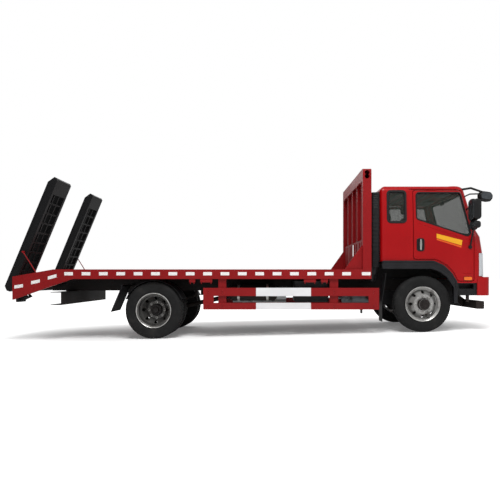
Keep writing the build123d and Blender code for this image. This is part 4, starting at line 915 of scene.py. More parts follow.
class TRUCK_OT_wheels(bpy.types.Operator):
    """Adds the rolled rim lips, wheel nuts, valves, hub covers and brake drums"""

    bl_idname = "truck.wheels"
    bl_label = "Wheel fittings"

    def execute(self, context):
        sizes = context.scene.truck_sizes
        for body, node, side, centres, face_y in wheel_sets(sizes):
            front = body.startswith("front")
            x, tyre_y, z = centres[0]
            lip = bmesh.new()
            lathe(lip, RIM_LIP, centres[0], 96, side)
            for index in range(STUDS):
                angle = index * 2 * pi / STUDS
                across = STUD_CIRCLE_RADIUS * cos(angle)
                stud = (x + across, face_y, z + STUD_CIRCLE_RADIUS * sin(angle))
                hex_nut(lip, stud, side, 0.033, 0.024)
            valve = radians(22.5)
            reach = VALVE_RADIUS * cos(valve)
            foot = Vector((x + reach, tyre_y + side * 0.045, z + VALVE_RADIUS * sin(valve)))
            bent_bar(
                lip, [foot, foot + Vector((0, side * 0.03, 0)), foot + Vector((0, side * 0.07, 0))], 0.0045
            )
            # The lips, nuts and valves take the lighter copy of the wheel silver, a painted highlight along
            # the rim edge
            finish_piece(lip, body + "_lip_and_nuts", body, "rim_painted_highlight")

            cover = bmesh.new()
            lathe(cover, FRONT_COVER if front else REAR_COVER, (x, face_y, z), 48, side)
            ring, reach = (0.059, 0.0725) if front else (0.077, 0.073)
            for index in range(STUDS):
                angle = index * 2 * pi / STUDS
                foot = (x + ring * cos(angle), face_y + side * reach, z + ring * sin(angle))
                hex_nut(cover, foot, side, 0.014, 0.008)
            finish_piece(cover, body + "_hub_cover", body, "hub_black")

            drum = bmesh.new()
            brake_drum(drum, (x, 0, z), side, *(FRONT_DRUM_SPAN if front else REAR_DRUM_SPAN))
            finish_piece(drum, body + "_brake_drum", body, "hub_black")
        return {"FINISHED"}


DECK_TAPE_MIDDLE = 1.135
DECK_TAPES = 17
FIRST_TAPE = -1.526
LAST_TAPE = 3.614
TAPE_DEPTH = (-1.2508, -1.2498)
TAPE_CORNER = 0.004
# The tail's tapes follow its slope: left end, height there, height at the right end
TAIL_TAPES = ((-1.810, 1.060, 1.100), (-2.098, 0.978, 1.012), (-2.388, 0.905, 0.929))


class TRUCK_OT_tapes(bpy.types.Operator):
    """Sticks the reflective tapes along the deck sides and the beavertail"""

    bl_idname = "truck.tapes"
    bl_label = "Reflective tapes"

    def execute(self, context):
        sizes = context.scene.truck_sizes
        bm = bmesh.new()
        half = sizes.tape_height / 2
        height = (DECK_TAPE_MIDDLE - half, DECK_TAPE_MIDDLE + half)
        lefts = [FIRST_TAPE + sizes.tape_pitch * index for index in range(DECK_TAPES)] + [LAST_TAPE]
        for left in lefts:
            outline = rounded(rectangle((left, left + sizes.tape_length), height), TAPE_CORNER, 2)
            prism(bm, outline, TAPE_DEPTH)
        for left, low, high in TAIL_TAPES:
            outline = [
                (left, low - half), (left + sizes.tape_length, high - half),
                (left + sizes.tape_length, high + half), (left, low + half),
            ]
            prism(bm, rounded(outline, TAPE_CORNER, 2), TAPE_DEPTH)
        mirror_over(bm)
        finish_piece(bm, "reflective_tapes", "chassis", "tape")
        return {"FINISHED"}


GUARD_RAILS = ((0.514, 0.631), (0.749, 0.890))
GUARD_DEPTH = (1.205, 1.245)
SLEEVE_SPAN = (1.786, 2.735)
SLEEVE_SKIN = 0.0015


class TRUCK_OT_side_guards(bpy.types.Operator):
    """Sleeves the middle of the side guards in white and adds their bolts"""

    bl_idname = "truck.side_guards"
    bl_label = "Side guard sleeves"

    def execute(self, context):
        sleeve = bmesh.new()
        inner, outer = (-depth for depth in GUARD_DEPTH)
        proud = outer - SLEEVE_SKIN
        for low, high in GUARD_RAILS:
            under, over = low - SLEEVE_SKIN, high + SLEEVE_SKIN
            outline = [
                (inner, under), (proud, under), (proud, over), (inner, over),
                (inner, high), (outer, high), (outer, low), (inner, low),
            ]
            prism(sleeve, outline, SLEEVE_SPAN, "X")
        mirror_over(sleeve)
        finish_piece(sleeve, "guard_white_sleeves", "chassis", "white_paint")

        bolts = bmesh.new()
        for x in (0.962, 1.200, 3.136, 3.823):
            for z in (0.560, 0.590, 0.800, 0.840):
                hex_nut(bolts, (x, -1.2445, z), -1, 0.018, 0.009)
        mirror_over(bolts)
        finish_piece(bolts, "guard_bolts", "chassis", "deck_paint")
        return {"FINISHED"}


class TRUCK_OT_deck_fittings(bpy.types.Operator):
    """Hangs the rope hooks under the deck sides and adds the rubbing edges, bolts and lashing rings"""

    bl_idname = "truck.deck_fittings"
    bl_label = "Deck fittings"

    def execute(self, context):
        hooks = bmesh.new()
        for x_span in ((0.630, 0.734), (0.820, 1.027), (2.614, 2.821), (2.907, 3.028)):
            middle = sum(x_span) / 2
            outline = rounded(rectangle((-1.240, -1.228), (0.985, 1.046)), 0.003, 2)
            prism(hooks, outline, x_span, "X")
            for x in (x_span[0] + 0.02, x_span[1] - 0.02):
                path = [(x, -1.232, 1.030), (x, -1.232, 0.972), (x, -1.244, 0.962), (x, -1.247, 0.985)]
                bent_bar(hooks, path, 0.006)
            hex_nut(hooks, (middle, -1.239, 1.012), -1, 0.016, 0.008)
        mirror_over(hooks)
        finish_piece(hooks, "rope_hooks", "chassis", "deck_paint")

        edge = bmesh.new()
        # A rounded rubbing edge runs along the top of each side and down the tail
        section = [
            (0.000, 0.000), (0.004, 0.002), (0.004, 0.010), (0.000, 0.012), (-0.010, 0.012), (-0.010, 0.000)
        ]
        path = [(3.775, 1.2005), (-1.716, 1.2005), (-2.420, 1.0755)]
        verts = bead(edge, path, [(-out, proud) for out, proud in section], closed=False)
        for vert in verts:
            vert.co.y = -1.2398 - vert.co.y
        for index in range(13):
            x = 3.52 - index * 0.42
            for z in (1.070, 1.178):
                hex_nut(edge, (x, -1.2495, z), -1, 0.010, 0.004)
        mirror_over(edge)
        finish_piece(edge, "deck_rubbing_edge", "chassis", "deck_paint")

        rings = bmesh.new()
        for index in range(6):
            x = 3.0 - index * 0.85
            for y in (-1.14, 1.14):
                prism(
                    rings,
                    rounded(rectangle((x - 0.035, x + 0.035), (y - 0.02, y + 0.02)), 0.006, 3),
                    (1.2005, 1.206),
                    "Z",
                )
                bent_bar(
                    rings,
                    [
                        (x - 0.028, y, 1.207),
                        (x - 0.024, y + 0.03, 1.209),
                        (x + 0.024, y + 0.03, 1.209),
                        (x + 0.028, y, 1.207),
                    ],
                    0.005,
                    8,
                )
        finish_piece(rings, "lashing_rings", "chassis", "bright_steel")
        return {"FINISHED"}


class TRUCK_OT_headboard(bpy.types.Operator):
    """Presses swages on the headboard panel and adds its straps, slot lip and bolts"""

    bl_idname = "truck.headboard"
    bl_label = "Headboard"

    def execute(self, context):
        swages = bmesh.new()
        for bay in range(4):
            for share in (0.3, 0.7):
                y = -1.14 + 0.57 * (bay + share)
                for x, z_span in ((3.700, (1.78, 2.72)), (3.660, (1.24, 1.70))):
                    if abs(y) < 0.13 and x < 3.7:
                        continue
                    outline = [(x, y - 0.036), (x - 0.012, y - 0.020), (x - 0.012, y + 0.020), (x, y + 0.036)]
                    prism(swages, outline, z_span, "Z")
        for y in (-1.0, -0.57, 0.57, 1.0):
            block(swages, (3.6295, 3.640), (y - 0.03, y + 0.03), (2.72, 2.79))
        round_edges(swages, 0.003, 2)
        finish_piece(swages, "headboard_swages", "chassis", "deck_paint")

        collar = bmesh.new()
        # A folded lip round the hand slot, and bolts through the foot
        outline = rounded(rectangle((-0.100, 0.100), (1.486, 1.713)), 0.02, 4)
        verts = bead(collar, outline, [(0.000, 0.000), (0.012, 0.000), (0.012, 0.010), (0.000, 0.012)])
        for vert in verts:
            vert.co = (3.660 - vert.co.y, vert.co.x, vert.co.z)
        for index in range(8):
            upright_bolt(collar, (3.648, -1.05 + index * 0.3, 1.2018), 0.020, 0.010)
        finish_piece(collar, "headboard_slot_lip", "chassis", "deck_paint")
        return {"FINISHED"}


# The ramps' own frame: u up along the beams from the pivot, v back from the driving face
RAMP_PIVOT = Vector((-2.500, 0.900))
RAMP_ALONG = Vector((cos(radians(67.5)), sin(radians(67.5))))
RAMP_BACK = Vector((-RAMP_ALONG.y, RAMP_ALONG.x))
RAMP_FACE = 0.050


def wrap_ramp(verts):
    """Lays (u, y, v) points on the standing ramp."""
    for vert in verts:
        u, y, v = vert.co
        place = RAMP_PIVOT + RAMP_ALONG * u + RAMP_BACK * (v - RAMP_FACE)
        vert.co = (place.x, y, place.y)


class TRUCK_OT_ramps(bpy.types.Operator):
    """Adds the ramps' grip angles, framed pockets, tips and hinge bosses"""

    bl_idname = "truck.ramps"
    bl_label = "Ramp fittings"

    def execute(self, context):
        for name, side in SIDES:
            near, far = 0.575, 1.175
            steel = bmesh.new()
            # Grip angles on the driving face, one over each rung, with punched teeth
            for index in range(9):
                u = 1.780 - 0.185 * (index + 1)
                outline = [
                    (u, 0.0115),
                    (u + 0.030, 0.0115),
                    (u + 0.030, 0.001),
                    (u + 0.026, 0.001),
                    (u + 0.022, 0.008),
                    (u, 0.008),
                ]
                prism(steel, outline, (near + 0.071, far - 0.071))
                for tooth in range(12):
                    y = near + 0.095 + tooth * 0.0373
                    bar(steel, (u + 0.012, y, 0.0095), (u + 0.012, y, 0.003), 0.006, 8, 0.003)
            # Lightening pockets framed on each beam's two faces
            for y, out in ((near, -1), (near + 0.07, 1), (far - 0.07, -1), (far, 1)):
                for index in range(5):
                    low = 0.10 + index * 0.37
                    frame_line = rounded(rectangle((low, low + 0.32), (0.030, 0.115)), 0.02, 3)
                    verts = bead(
                        steel, frame_line, [(0, -0.001), (0.006, -0.001), (0.006, 0.0025), (0, 0.004)]
                    )
                    for vert in verts:
                        vert.co.y = y + out * vert.co.y
            # Round bosses over the hinge pin, outside each beam
            for y, out in ((near, -1), (far, 1)):
                reach = 0.0045
                verts = bar(steel, (0, y, RAMP_FACE), (0, y + out * reach, RAMP_FACE), 0.046, 28, 0.043)
                hex_nut(steel, (0, y + out * reach, RAMP_FACE), out, 0.040, 0.006)
            # The rounded tip closes the space between the beams
            outline = [
                (1.95, 0.001), (2.050, 0.001), (2.068, 0.020), (2.069, 0.068), (2.010, 0.120), (1.95, 0.120)
            ]
            prism(steel, rounded(outline, 0.008, 3), (near + 0.0695, far - 0.0695))
            # The tip plate's folded edge and two stiffeners behind it
            outline = [(1.785, 0.0715), (2.008, 0.0715), (2.008, 0.079), (1.785, 0.079)]
            prism(steel, outline, (near + 0.071, far - 0.071))
            for y in (0.78, 0.97):
                outline = [(1.79, 0.078), (2.00, 0.078), (1.79, 0.130)]
                prism(steel, outline, (y - 0.005, y + 0.005))
            wrap_ramp(steel.verts)
            if side < 0:
                bmesh.ops.scale(steel, vec=(1, -1, 1), verts=steel.verts)
            finish_piece(steel, "ramp_fittings_" + name, "ramp_" + name, "ramp_paint")
        return {"FINISHED"}


# Lenses on the rear of each lamp: span across the truck, finish
TAIL_LENSES = ((0.892, 0.975, "clear_lens"), (0.978, 1.055, "orange_lens"), (1.058, 1.140, "red_lens"))
LENS_HEIGHTS = (0.650, 0.720)
LENS_DEPTH = (-2.4045, -2.415)
FLAP_TOP = Vector((-0.551, 0.905))
FLAP_FOOT = Vector((-0.745, 0.470))
FLAP_RIBS = 9
FLAP_RIB_PITCH = 0.055


class TRUCK_OT_tail(bpy.types.Operator):
    """Glazes the tail lamps and adds the mud flap ribs"""

    bl_idname = "truck.tail"
    bl_label = "Tail lamps and flaps"

    def execute(self, context):
        for near, far, finish in TAIL_LENSES:
            bm = bmesh.new()
            outline = rounded(rectangle((near, far), LENS_HEIGHTS), 0.010, 3)
            prism(bm, outline, LENS_DEPTH, "X")
            round_edges(bm, 0.004, 2)
            mirror_over(bm)
            finish_piece(bm, "tail_" + finish, "chassis", finish)

        ribs = bmesh.new()
        slope = Vector((-0.195, -0.460)).normalized()
        for index in range(FLAP_RIBS):
            y = -1.16 + index * FLAP_RIB_PITCH
            foot = FLAP_TOP + slope * 0.02
            tip = FLAP_FOOT - slope * 0.02
            outline = [(foot.x, foot.y), (foot.x - 0.005, foot.y), (tip.x - 0.005, tip.y), (tip.x, tip.y)]
            prism(ribs, outline, (y, y + 0.012))
        mirror_over(ribs)
        finish_piece(ribs, "mud_flap_ribs", "chassis", "black_plastic")
        return {"FINISHED"}


RAIL_FACE = 0.447
# Outlines of the splash panels behind and ahead of the front wheel
REAR_SPLASH = [(3.86, 0.560), (4.36, 0.560), (4.50, 0.700), (4.50, 0.824), (3.86, 0.824)]
FRONT_SPLASH = [(4.93, 0.700), (5.05, 0.560), (5.48, 0.560), (5.48, 0.824), (4.93, 0.824)]
SPLASH_DEPTH = (-RAIL_FACE, -0.441)
SILENCER_CENTRE = (-0.645, 0.700)
# Each stretch of the silencer: its start, end and radius
SILENCER_STRETCHES = ((3.345, 3.365, 0.086), (3.365, 3.895, 0.098), (3.895, 3.915, 0.086))
SILENCER_SEAMS = (3.372, 3.888)
SILENCER_STRAPS = (3.500, 3.760)
TANK_BAND_PLACES = (1.47, 1.98)
AIR_TANK_SIDES = (-0.64, -0.96)


class TRUCK_OT_running_gear(bpy.types.Operator):
    """Adds brake chambers, spring bolts, tank bands, splash panels, aprons, silencer and battery cover"""

    bl_idname = "truck.running_gear"
    bl_label = "Running gear fittings"

    def execute(self, context):
        gear = bmesh.new()
        # U-bolts over each spring: axle place, height of the spring seat, height of the clamp foot
        for x, seat, foot in ((0, 0.577, 0.500), (4.705, 0.596, 0.560)):
            for end in (-0.048, 0.048):
                for y in (-0.440, -0.354):
                    bar(gear, (x + end, y, foot), (x + end, y, seat + 0.115), 0.009, 10)
                bar(gear, (x + end, -0.449, seat + 0.106), (x + end, -0.345, seat + 0.106), 0.009, 10)
            block(gear, (x - 0.06, x + 0.06), (-0.446, -0.348), (seat + 0.085, seat + 0.098))
        # Spring brake chambers behind the rear axle, with their clamp bands
        for offset, radius in ((0, 0.074), (0.075, 0.082), (0.085, 0.082), (0.150, 0.074)):
            bar(gear, (-0.16 - offset, -0.60, 0.50), (-0.205 - offset, -0.60, 0.50), radius, 28)
        bar(gear, (0, -0.60, 0.50), (-0.18, -0.60, 0.50), 0.020, 12)
        # Rivets along the frame rails' webs
        for index in range(26):
            for z in (0.86, 1.00):
                hex_nut(gear, (-1.2 + index * 0.26, -0.4318, z), -1, 0.018, 0.008)
        mirror_over(gear)
        finish_piece(gear, "brakes_and_spring_bolts", "chassis", "chassis_paint")

        bands = bmesh.new()
        for x in TANK_BAND_PLACES:
            for y in AIR_TANK_SIDES:
                ring = [(0.1415, -0.02), (0.1445, -0.02), (0.1445, 0.02), (0.1415, 0.02), (0.1415, -0.02)]
                made = bmesh.new()
                lathe(made, ring, (0, 0, 0), 40)
                bmesh.ops.rotate(
                    made, verts=made.verts, cent=(0, 0, 0), matrix=Matrix.Rotation(pi / 2, 3, "Z")
                )
                bmesh.ops.translate(made, verts=made.verts, vec=(x, y, 0.80))
                take_in(bands, made)
        for y in AIR_TANK_SIDES:
            bar(bands, (1.725, y, 0.662), (1.725, y, 0.640), 0.012, 8)
        for x in (1.47, 2.13):
            outline = rounded(rectangle((0.4695, 1.0835), (0.5565, 1.0235)), 0.092, 6)
            inner = rounded(rectangle((0.4715, 1.0805), (0.5595, 1.0205)), 0.090, 6)
            rings = []
            for points in (outline, inner):
                for end in (x - 0.025, x + 0.025):
                    rings.append([bands.verts.new((end, y, z)) for y, z in points])
            outer_low, outer_high, inner_low, inner_high = rings
            for first, second in (
                (outer_low, outer_high),
                (outer_high, inner_high),
                (inner_high, inner_low),
                (inner_low, outer_low),
            ):
                for index in range(len(first)):
                    bands.faces.new((first[index], first[index - 1], second[index - 1], second[index]))
        finish_piece(bands, "tank_bands", "chassis", "bright_steel")

        splash = bmesh.new()
        # Rubber splash panels hang from the rails beside the engine
        for outline in (REAR_SPLASH, FRONT_SPLASH):
            prism(splash, rounded(outline, 0.03, 4), SPLASH_DEPTH)
        for x in (3.92, 4.10, 4.28, 4.45, 5.00, 5.15, 5.29):
            hex_nut(splash, (x, -0.4465, 0.800), -1, 0.016, 0.008)
        mirror_over(splash)
        finish_piece(splash, "splash_panels", "chassis", "black_plastic")

        apron = bmesh.new()
        # A rubber apron stands on each rail between the engine and the back of the cab
        prism(apron, rounded(rectangle((3.98, 4.34), (1.010, 1.150)), 0.02, 4), (-0.412, -0.406))
        for x in (4.03, 4.16, 4.29):
            hex_nut(apron, (x, -0.4115, 1.035), -1, 0.016, 0.008)
        mirror_over(apron)
        finish_piece(apron, "rail_aprons", "chassis", "seal_rubber")

        silencer = bmesh.new()
        # The silencer lies along the right rail, with a seam round each end and two straps
        centre = SILENCER_CENTRE
        for start, end, radius in SILENCER_STRETCHES:
            bar(silencer, (start, *centre), (end, *centre), radius, 40)
        for x in sorted(SILENCER_SEAMS + SILENCER_STRAPS):
            bar(silencer, (x - 0.012, *centre), (x + 0.012, *centre), 0.1015, 40)
        bent_bar(silencer, [(3.350, *centre), (3.250, *centre), (3.160, -0.600, 0.680)], 0.032, 20)
        for x in SILENCER_STRAPS:
            block(silencer, (x - 0.016, x + 0.016), (-0.600, -RAIL_FACE), (0.790, 0.802))
        finish_piece(silencer, "silencer", "chassis", "engine_grey")

        cover = bmesh.new()
        outline = rounded(rectangle((2.445, 3.055), (-1.135, -0.468)), 0.03, 4)
        prism(cover, outline, (0.965, 1.008), "Z")
        for index in range(5):
            block(cover, (2.50 + index * 0.12, 2.53 + index * 0.12), (-1.10, -0.52), (1.006, 1.014))
        for x in (2.60, 2.90):
            prism(cover, rectangle((x - 0.02, x + 0.02), (0.88, 0.985)), (-1.141, -1.134))
        round_edges(cover, 0.004, 2)
        finish_piece(cover, "battery_cover", "chassis", "black_plastic")
        return {"FINISHED"}


# Window outlines on the cab's side and ends, drawn anticlockwise, and their corner radius
DOOR_WINDOW = [(4.601, 2.100), (5.556, 1.775), (5.376, 2.565), (4.598, 2.565)]
QUARTER_WINDOW = rectangle((4.097, 4.410), (2.039, 2.591))
SCREEN = [(-0.960, 1.860), (0.960, 1.860), (0.905, 2.590), (-0.905, 2.590)]
REAR_WINDOW = rectangle((-0.420, 0.420), (2.080, 2.480))
WINDOW_CORNER = 0.055
# A rubber seal's section, out from the window's edge and proud of the skin
SEAL = [
    (0.013, 0.000),
    (0.011, 0.005),
    (-0.004, 0.006),
    (-0.012, -0.002),
    (-0.014, -0.021),
    (-0.006, -0.021),
    (0.002, -0.003),
]
WIDE_SEAL = [
    (0.020, 0.000),
    (0.017, 0.006),
    (-0.010, 0.007),
    (-0.024, -0.004),
    (-0.026, -0.021),
    (-0.016, -0.021),
    (0.002, -0.003),
]


class TRUCK_OT_window_seals(bpy.types.Operator):
    """Fits rubber seals round the doors', sides', nose's and rear windows"""

    bl_idname = "truck.window_seals"
    bl_label = "Window seals"

    def execute(self, context):
        for name, side in SIDES:
            bm = bmesh.new()
            wrap_side(bead(bm, rounded(DOOR_WINDOW, WINDOW_CORNER, 8), SEAL), side)
            finish_piece(bm, "door_seal_" + name, "door_" + name, "seal_rubber")
        bm = bmesh.new()
        for name, side in SIDES:
            wrap_side(bead(bm, rounded(QUARTER_WINDOW, WINDOW_CORNER, 8), WIDE_SEAL), side)
        outline = []
        corners = rounded(SCREEN, 0.08, 8)
        for index, corner in enumerate(corners):
            following = Vector(corners[(index + 1) % len(corners)])
            start = Vector(corner)
            pieces = max(1, int((following - start).length / 0.12))
            outline += [start.lerp(following, step / pieces) for step in range(pieces)]
        wrap_nose(bead(bm, outline, WIDE_SEAL))
        verts = bead(bm, rounded(REAR_WINDOW, WINDOW_CORNER, 8), WIDE_SEAL)
        for vert in verts:
            vert.co = (3.968 - vert.co.y, vert.co.x, vert.co.z)
        finish_piece(bm, "cab_window_seals", "cab", "seal_rubber")
        return {"FINISHED"}


HANDLE_CUP = rectangle((4.594, 4.732), (1.530, 1.758))
HANDLE_FLOOR = rectangle((4.610, 4.716), (1.546, 1.742))
MARKER = rectangle((5.426, 5.554), (1.027, 1.077))
MARKER_CORNER = 0.012
STRIPE_ENDS = (4.945, 5.375)
STRIPE_REAR = (1.728, 1.838)
STRIPE_FRONT = (1.592, 1.722)
# Each colour of the stripe: finish, and its share of the height
STRIPES = (("stripe_yellow", 0.30, 1.0), ("stripe_orange", 0.0, 0.2))


class TRUCK_OT_door_fittings(bpy.types.Operator):
    """Adds each door's handle, marker lamp, stripes and pressed lines"""

    bl_idname = "truck.door_fittings"
    bl_label = "Door fittings"

    def execute(self, context):
        for name, side in SIDES:
            body = "door_" + name
            cup = bmesh.new()
            # The handle's dark cup: a rim with a floor set down inside it
            outline = rounded(HANDLE_CUP, 0.045, 6)
            verts = bead(
                cup,
                outline,
                [
                    (0.000, -0.002),
                    (0.000, 0.006),
                    (-0.006, 0.010),
                    (-0.014, 0.008),
                    (-0.018, 0.001),
                    (-0.018, -0.002),
                ],
            )
            verts += prism(cup, rounded(HANDLE_FLOOR, 0.032, 6), (-0.002, 0.002))
            verts += block(cup, (4.641, 4.685), (0.001, 0.016), (1.560, 1.600))
            verts += block(cup, (4.641, 4.685), (0.001, 0.016), (1.688, 1.728))
            wrap_side(verts, side)
            finish_piece(cup, body + "_handle_cup", body, "black_plastic")

            pull = bmesh.new()
            grip = rounded(
                [
                    (4.652, 1.552),
                    (4.674, 1.552),
                    (4.679, 1.640),
                    (4.674, 1.736),
                    (4.652, 1.736),
                    (4.648, 1.640),
                ],
                0.006,
                3,
            )
            verts = prism(pull, grip, (0.014, 0.026))
            verts += bar(pull, (4.663, 0.012, 1.575), (4.663, 0.028, 1.575), 0.009, 16)
            round_edges(pull, 0.003, 2)
            wrap_side(pull.verts, side)
            finish_piece(pull, body + "_handle_pull", body, "bright_steel")

            lens = bmesh.new()
            prism(lens, rounded(MARKER, MARKER_CORNER, 4), (0.002, 0.014))
            round_edges(lens, 0.004, 3)
            wrap_side(lens.verts, side)
            finish_piece(lens, body + "_marker_lens", body, "orange_lens")

            trim = bmesh.new()
            verts = bead(
                trim,
                rounded(MARKER, MARKER_CORNER, 4),
                [(-0.001, -0.002), (-0.001, 0.008), (0.003, 0.009), (0.007, 0.005), (0.007, -0.002)],
            )
            wrap_side(verts, side)
            finish_piece(trim, body + "_marker_rim", body, "black_plastic")

            # Pressed lines: a swage above the marker and one along the waist under the window
            lines = bmesh.new()
            section = [(-0.006, -0.001), (-0.002, 0.004), (0.002, 0.004), (0.006, -0.001)]
            bead(lines, [(5.400, 1.142), (5.568, 1.142)], section, closed=False)
            bead(
                lines, [(4.620, 2.028), (4.900, 1.933), (5.250, 1.814), (5.540, 1.716)], section, closed=False
            )
            wrap_side(lines.verts, side)
            finish_piece(lines, body + "_pressed_lines", body, "cab_paint")

            for number, (finish, low, high) in enumerate(STRIPES):
                stripe = bmesh.new()
                rear_x, front_x = STRIPE_ENDS
                rear, fore = STRIPE_REAR, STRIPE_FRONT
                outline = [
                    (rear_x, rear[0] + (rear[1] - rear[0]) * low),
                    (front_x + 0.02 * low, fore[0] + (fore[1] - fore[0]) * low),
                    (front_x + 0.02 * high, fore[0] + (fore[1] - fore[0]) * high),
                    (rear_x, rear[0] + (rear[1] - rear[0]) * high),
                ]
                prism(stripe, outline, (-0.002, 0.0015))
                wrap_side(stripe.verts, side)
                finish_piece(stripe, body + "_stripe_" + str(number), body, finish)
        return {"FINISHED"}


class TRUCK_OT_arch_lips(bpy.types.Operator):
    """Rolls a lip along the wheel arch flares and adds the step treads"""

    bl_idname = "truck.arch_lips"
    bl_label = "Wheel arch lips"

    def execute(self, context):
        bm = bmesh.new()
        section = [
            (-0.004, -0.012),
            (0.008, -0.010),
            (0.012, -0.002),
            (0.008, 0.006),
            (-0.002, 0.009),
            (-0.018, 0.006),
            (-0.024, -0.004),
        ]
        path = [
            (5.285, 0.622), (5.285, 0.994), (5.196, 1.140), (5.062, 1.275), (4.880, 1.354), (3.992, 1.354)
        ]
        verts = bead(bm, path, section, closed=False)
        # The inner edge's return, which the tyre sees
        path = [
            (3.992, 1.232), (4.846, 1.232), (4.984, 1.180), (5.115, 1.092), (5.241, 0.900), (5.247, 0.622)
        ]
        verts += bead(bm, path, section, closed=False)
        for vert in verts:
            vert.co.y = -1.165 - vert.co.y
        mirror_over(bm)
        finish_piece(bm, "arch_lips", "cab", "flare_plastic")

        treads = bmesh.new()
        for side in (-1, 1):
            for row in range(4):
                for column in range(9):
                    x = 5.365 + column * 0.026
                    y = side * (1.005 + row * 0.026)
                    bar(treads, (x, y, 0.869), (x, y, 0.875), 0.008, 8, 0.005)
        finish_piece(treads, "step_treads", "cab", "black_plastic")
        return {"FINISHED"}


class TRUCK_OT_nose(bpy.types.Operator):
    """Adds the headlamp rings and lenses, grille mesh, fog lamps, wipers, gutters and step hangers"""

    bl_idname = "truck.nose"
    bl_label = "Nose"

    def execute(self, context):
        bowls = bmesh.new()
        lenses = bmesh.new()
        for side in (-1, 1):
            for across, height, radius in ((0.875, 1.385, 0.062), (0.875, 1.235, 0.062)):
                ring = [
                    (radius, 0.0085),
                    (radius + 0.012, 0.0085),
                    (radius + 0.012, 0.017),
                    (radius + 0.006, 0.022),
                    (radius, 0.017),
                    (radius, 0.0085),
                ]
                for profile, target in (
                    (ring, bowls),
                    (
                        [(0, 0.0085), (radius, 0.0085), (radius, 0.015), (radius * 0.6, 0.024), (0, 0.028)],
                        lenses,
                    ),
                ):
                    made = bmesh.new()
                    lathe(made, profile, (0, 0, 0), 40)
                    bmesh.ops.translate(made, verts=made.verts, vec=(side * across, 0, height))
                    wrap_nose(made.verts)
                    take_in(target, made)
        finish_piece(bowls, "headlamp_rings", "cab", "bright_steel")
        finish_piece(lenses, "headlamp_lenses", "cab", "clear_lens")

        mesh = bmesh.new()
        for index in range(52):
            across = -0.765 + index * 0.03
            prism(mesh, rectangle((across - 0.004, across + 0.004), (1.145, 1.495)), (0.001, 0.008))
        frame_line = rounded(rectangle((-0.785, 0.785), (1.136, 1.504)), 0.02, 3)
        dense = []
        for index, corner in enumerate(frame_line):
            start, following = Vector(corner), Vector(frame_line[(index + 1) % len(frame_line)])
            pieces = max(1, int((following - start).length / 0.12))
            dense += [start.lerp(following, step / pieces) for step in range(pieces)]
        bead(
            mesh, dense, [(-0.012, -0.002), (-0.012, 0.018), (-0.004, 0.024), (0.006, 0.020), (0.010, -0.002)]
        )
        wrap_nose(mesh.verts)
        finish_piece(mesh, "grille_mesh", "cab", "black_plastic")

        fog = bmesh.new()
        for side in (-1, 1):
            bar(fog, (5.885, side * 0.84, 0.880), (5.902, side * 0.84, 0.880), 0.055, 32, 0.048)
        finish_piece(fog, "fog_lamp_glass", "cab", "clear_lens")
        dark = bmesh.new()
        for side in (-1, 1):
            bar(dark, (5.884, side * 0.84, 0.880), (5.899, side * 0.84, 0.880), 0.075, 32, 0.066)
            bar(dark, (5.884, side * 0.58, 0.880), (5.898, side * 0.58, 0.880), 0.036, 20, 0.033)
        for index in range(4):
            height = 0.800 + index * 0.032
            block(dark, (5.884, 5.899), (-0.45, 0.45), (height, height + 0.016))
        block(dark, (5.884, 5.896), (-0.47, 0.47), (0.790, 0.920))
        # A rubber tread runs along the bumper's top ledge
        for index in range(21):
            across = -0.80 + index * 0.08
            block(dark, (5.856, 5.886), (across - 0.03, across + 0.03), (1.0785, 1.084))
        round_edges(dark, 0.002, 1)
        finish_piece(dark, "bumper_inserts", "cab", "black_plastic")

        wipers = bmesh.new()
        for across, reach in ((-0.55, 0.62), (0.25, 0.62)):
            foot = Vector((across, 0.012, 1.800))
            elbow = Vector((across + 0.06, 0.034, 1.880))
            tip = Vector((across + reach, 0.022, 1.945))
            bent_bar(wipers, [foot, elbow, tip], 0.007, 8)
            bar(wipers, foot - Vector((0, 0.014, 0)), foot + Vector((0, 0.012, 0)), 0.020, 20)
            blade = [tip - Vector((0.30, 0.014, 0.030)), tip + Vector((0.16, -0.014, 0.016))]
            bar(wipers, blade[0], blade[1], 0.006, 6)
        wrap_nose(wipers.verts)
        finish_piece(wipers, "wipers", "cab", "seal_rubber")

        hangers = bmesh.new()
        # A bracket holds each front step under the bumper's end
        block(hangers, (5.480, 5.530), (-1.085, -1.045), (0.640, 0.800))
        round_edges(hangers, 0.004, 2)
        mirror_over(hangers)
        finish_piece(hangers, "step_hangers", "cab", "chassis_paint")

        gutters = bmesh.new()
        # The rain gutter over each door
        section = [(-0.004, -0.002), (-0.005, 0.010), (0.001, 0.013), (0.006, 0.008), (0.006, -0.002)]
        verts = bead(
            gutters, [(4.470, 2.632), (4.90, 2.634), (5.300, 2.630), (5.400, 2.600)], section, closed=False
        )
        wrap_side(verts)
        mirror_over(gutters)
        finish_piece(gutters, "rain_gutters", "cab", "cab_paint")
        return {"FINISHED"}


DOOR_MIRROR_SPAN = (-1.388, -1.182)
MIRROR_GLASS_SPAN = (-1.376, -1.194)
# Each door mirror's glass: its heights, corner radius and the x of its rear face
MIRROR_GLASSES = (((2.074, 2.406), 0.058, 5.500), ((1.928, 2.028), 0.035, 5.520))
# The nose mirror's outline in the side view, and its glass's
NOSE_MIRROR = [
    (5.727, 2.452), (5.850, 2.428), (5.942, 2.440), (5.950, 2.520), (5.912, 2.574), (5.782, 2.590),
    (5.724, 2.545),
]
NOSE_GLASS = [
    (5.747, 2.466), (5.850, 2.446), (5.927, 2.456), (5.932, 2.516), (5.900, 2.558), (5.788, 2.572),
    (5.744, 2.536),
]


def mirror_head(bm, x_span, y_span, z_span, corner):
    """A mirror's pillowed housing, its outline rounded in the side view."""
    made = bmesh.new()
    prism(made, rounded(rectangle(x_span, z_span), corner, 8), y_span)
    round_edges(made, 0.024, 4)
    take_in(bm, made)


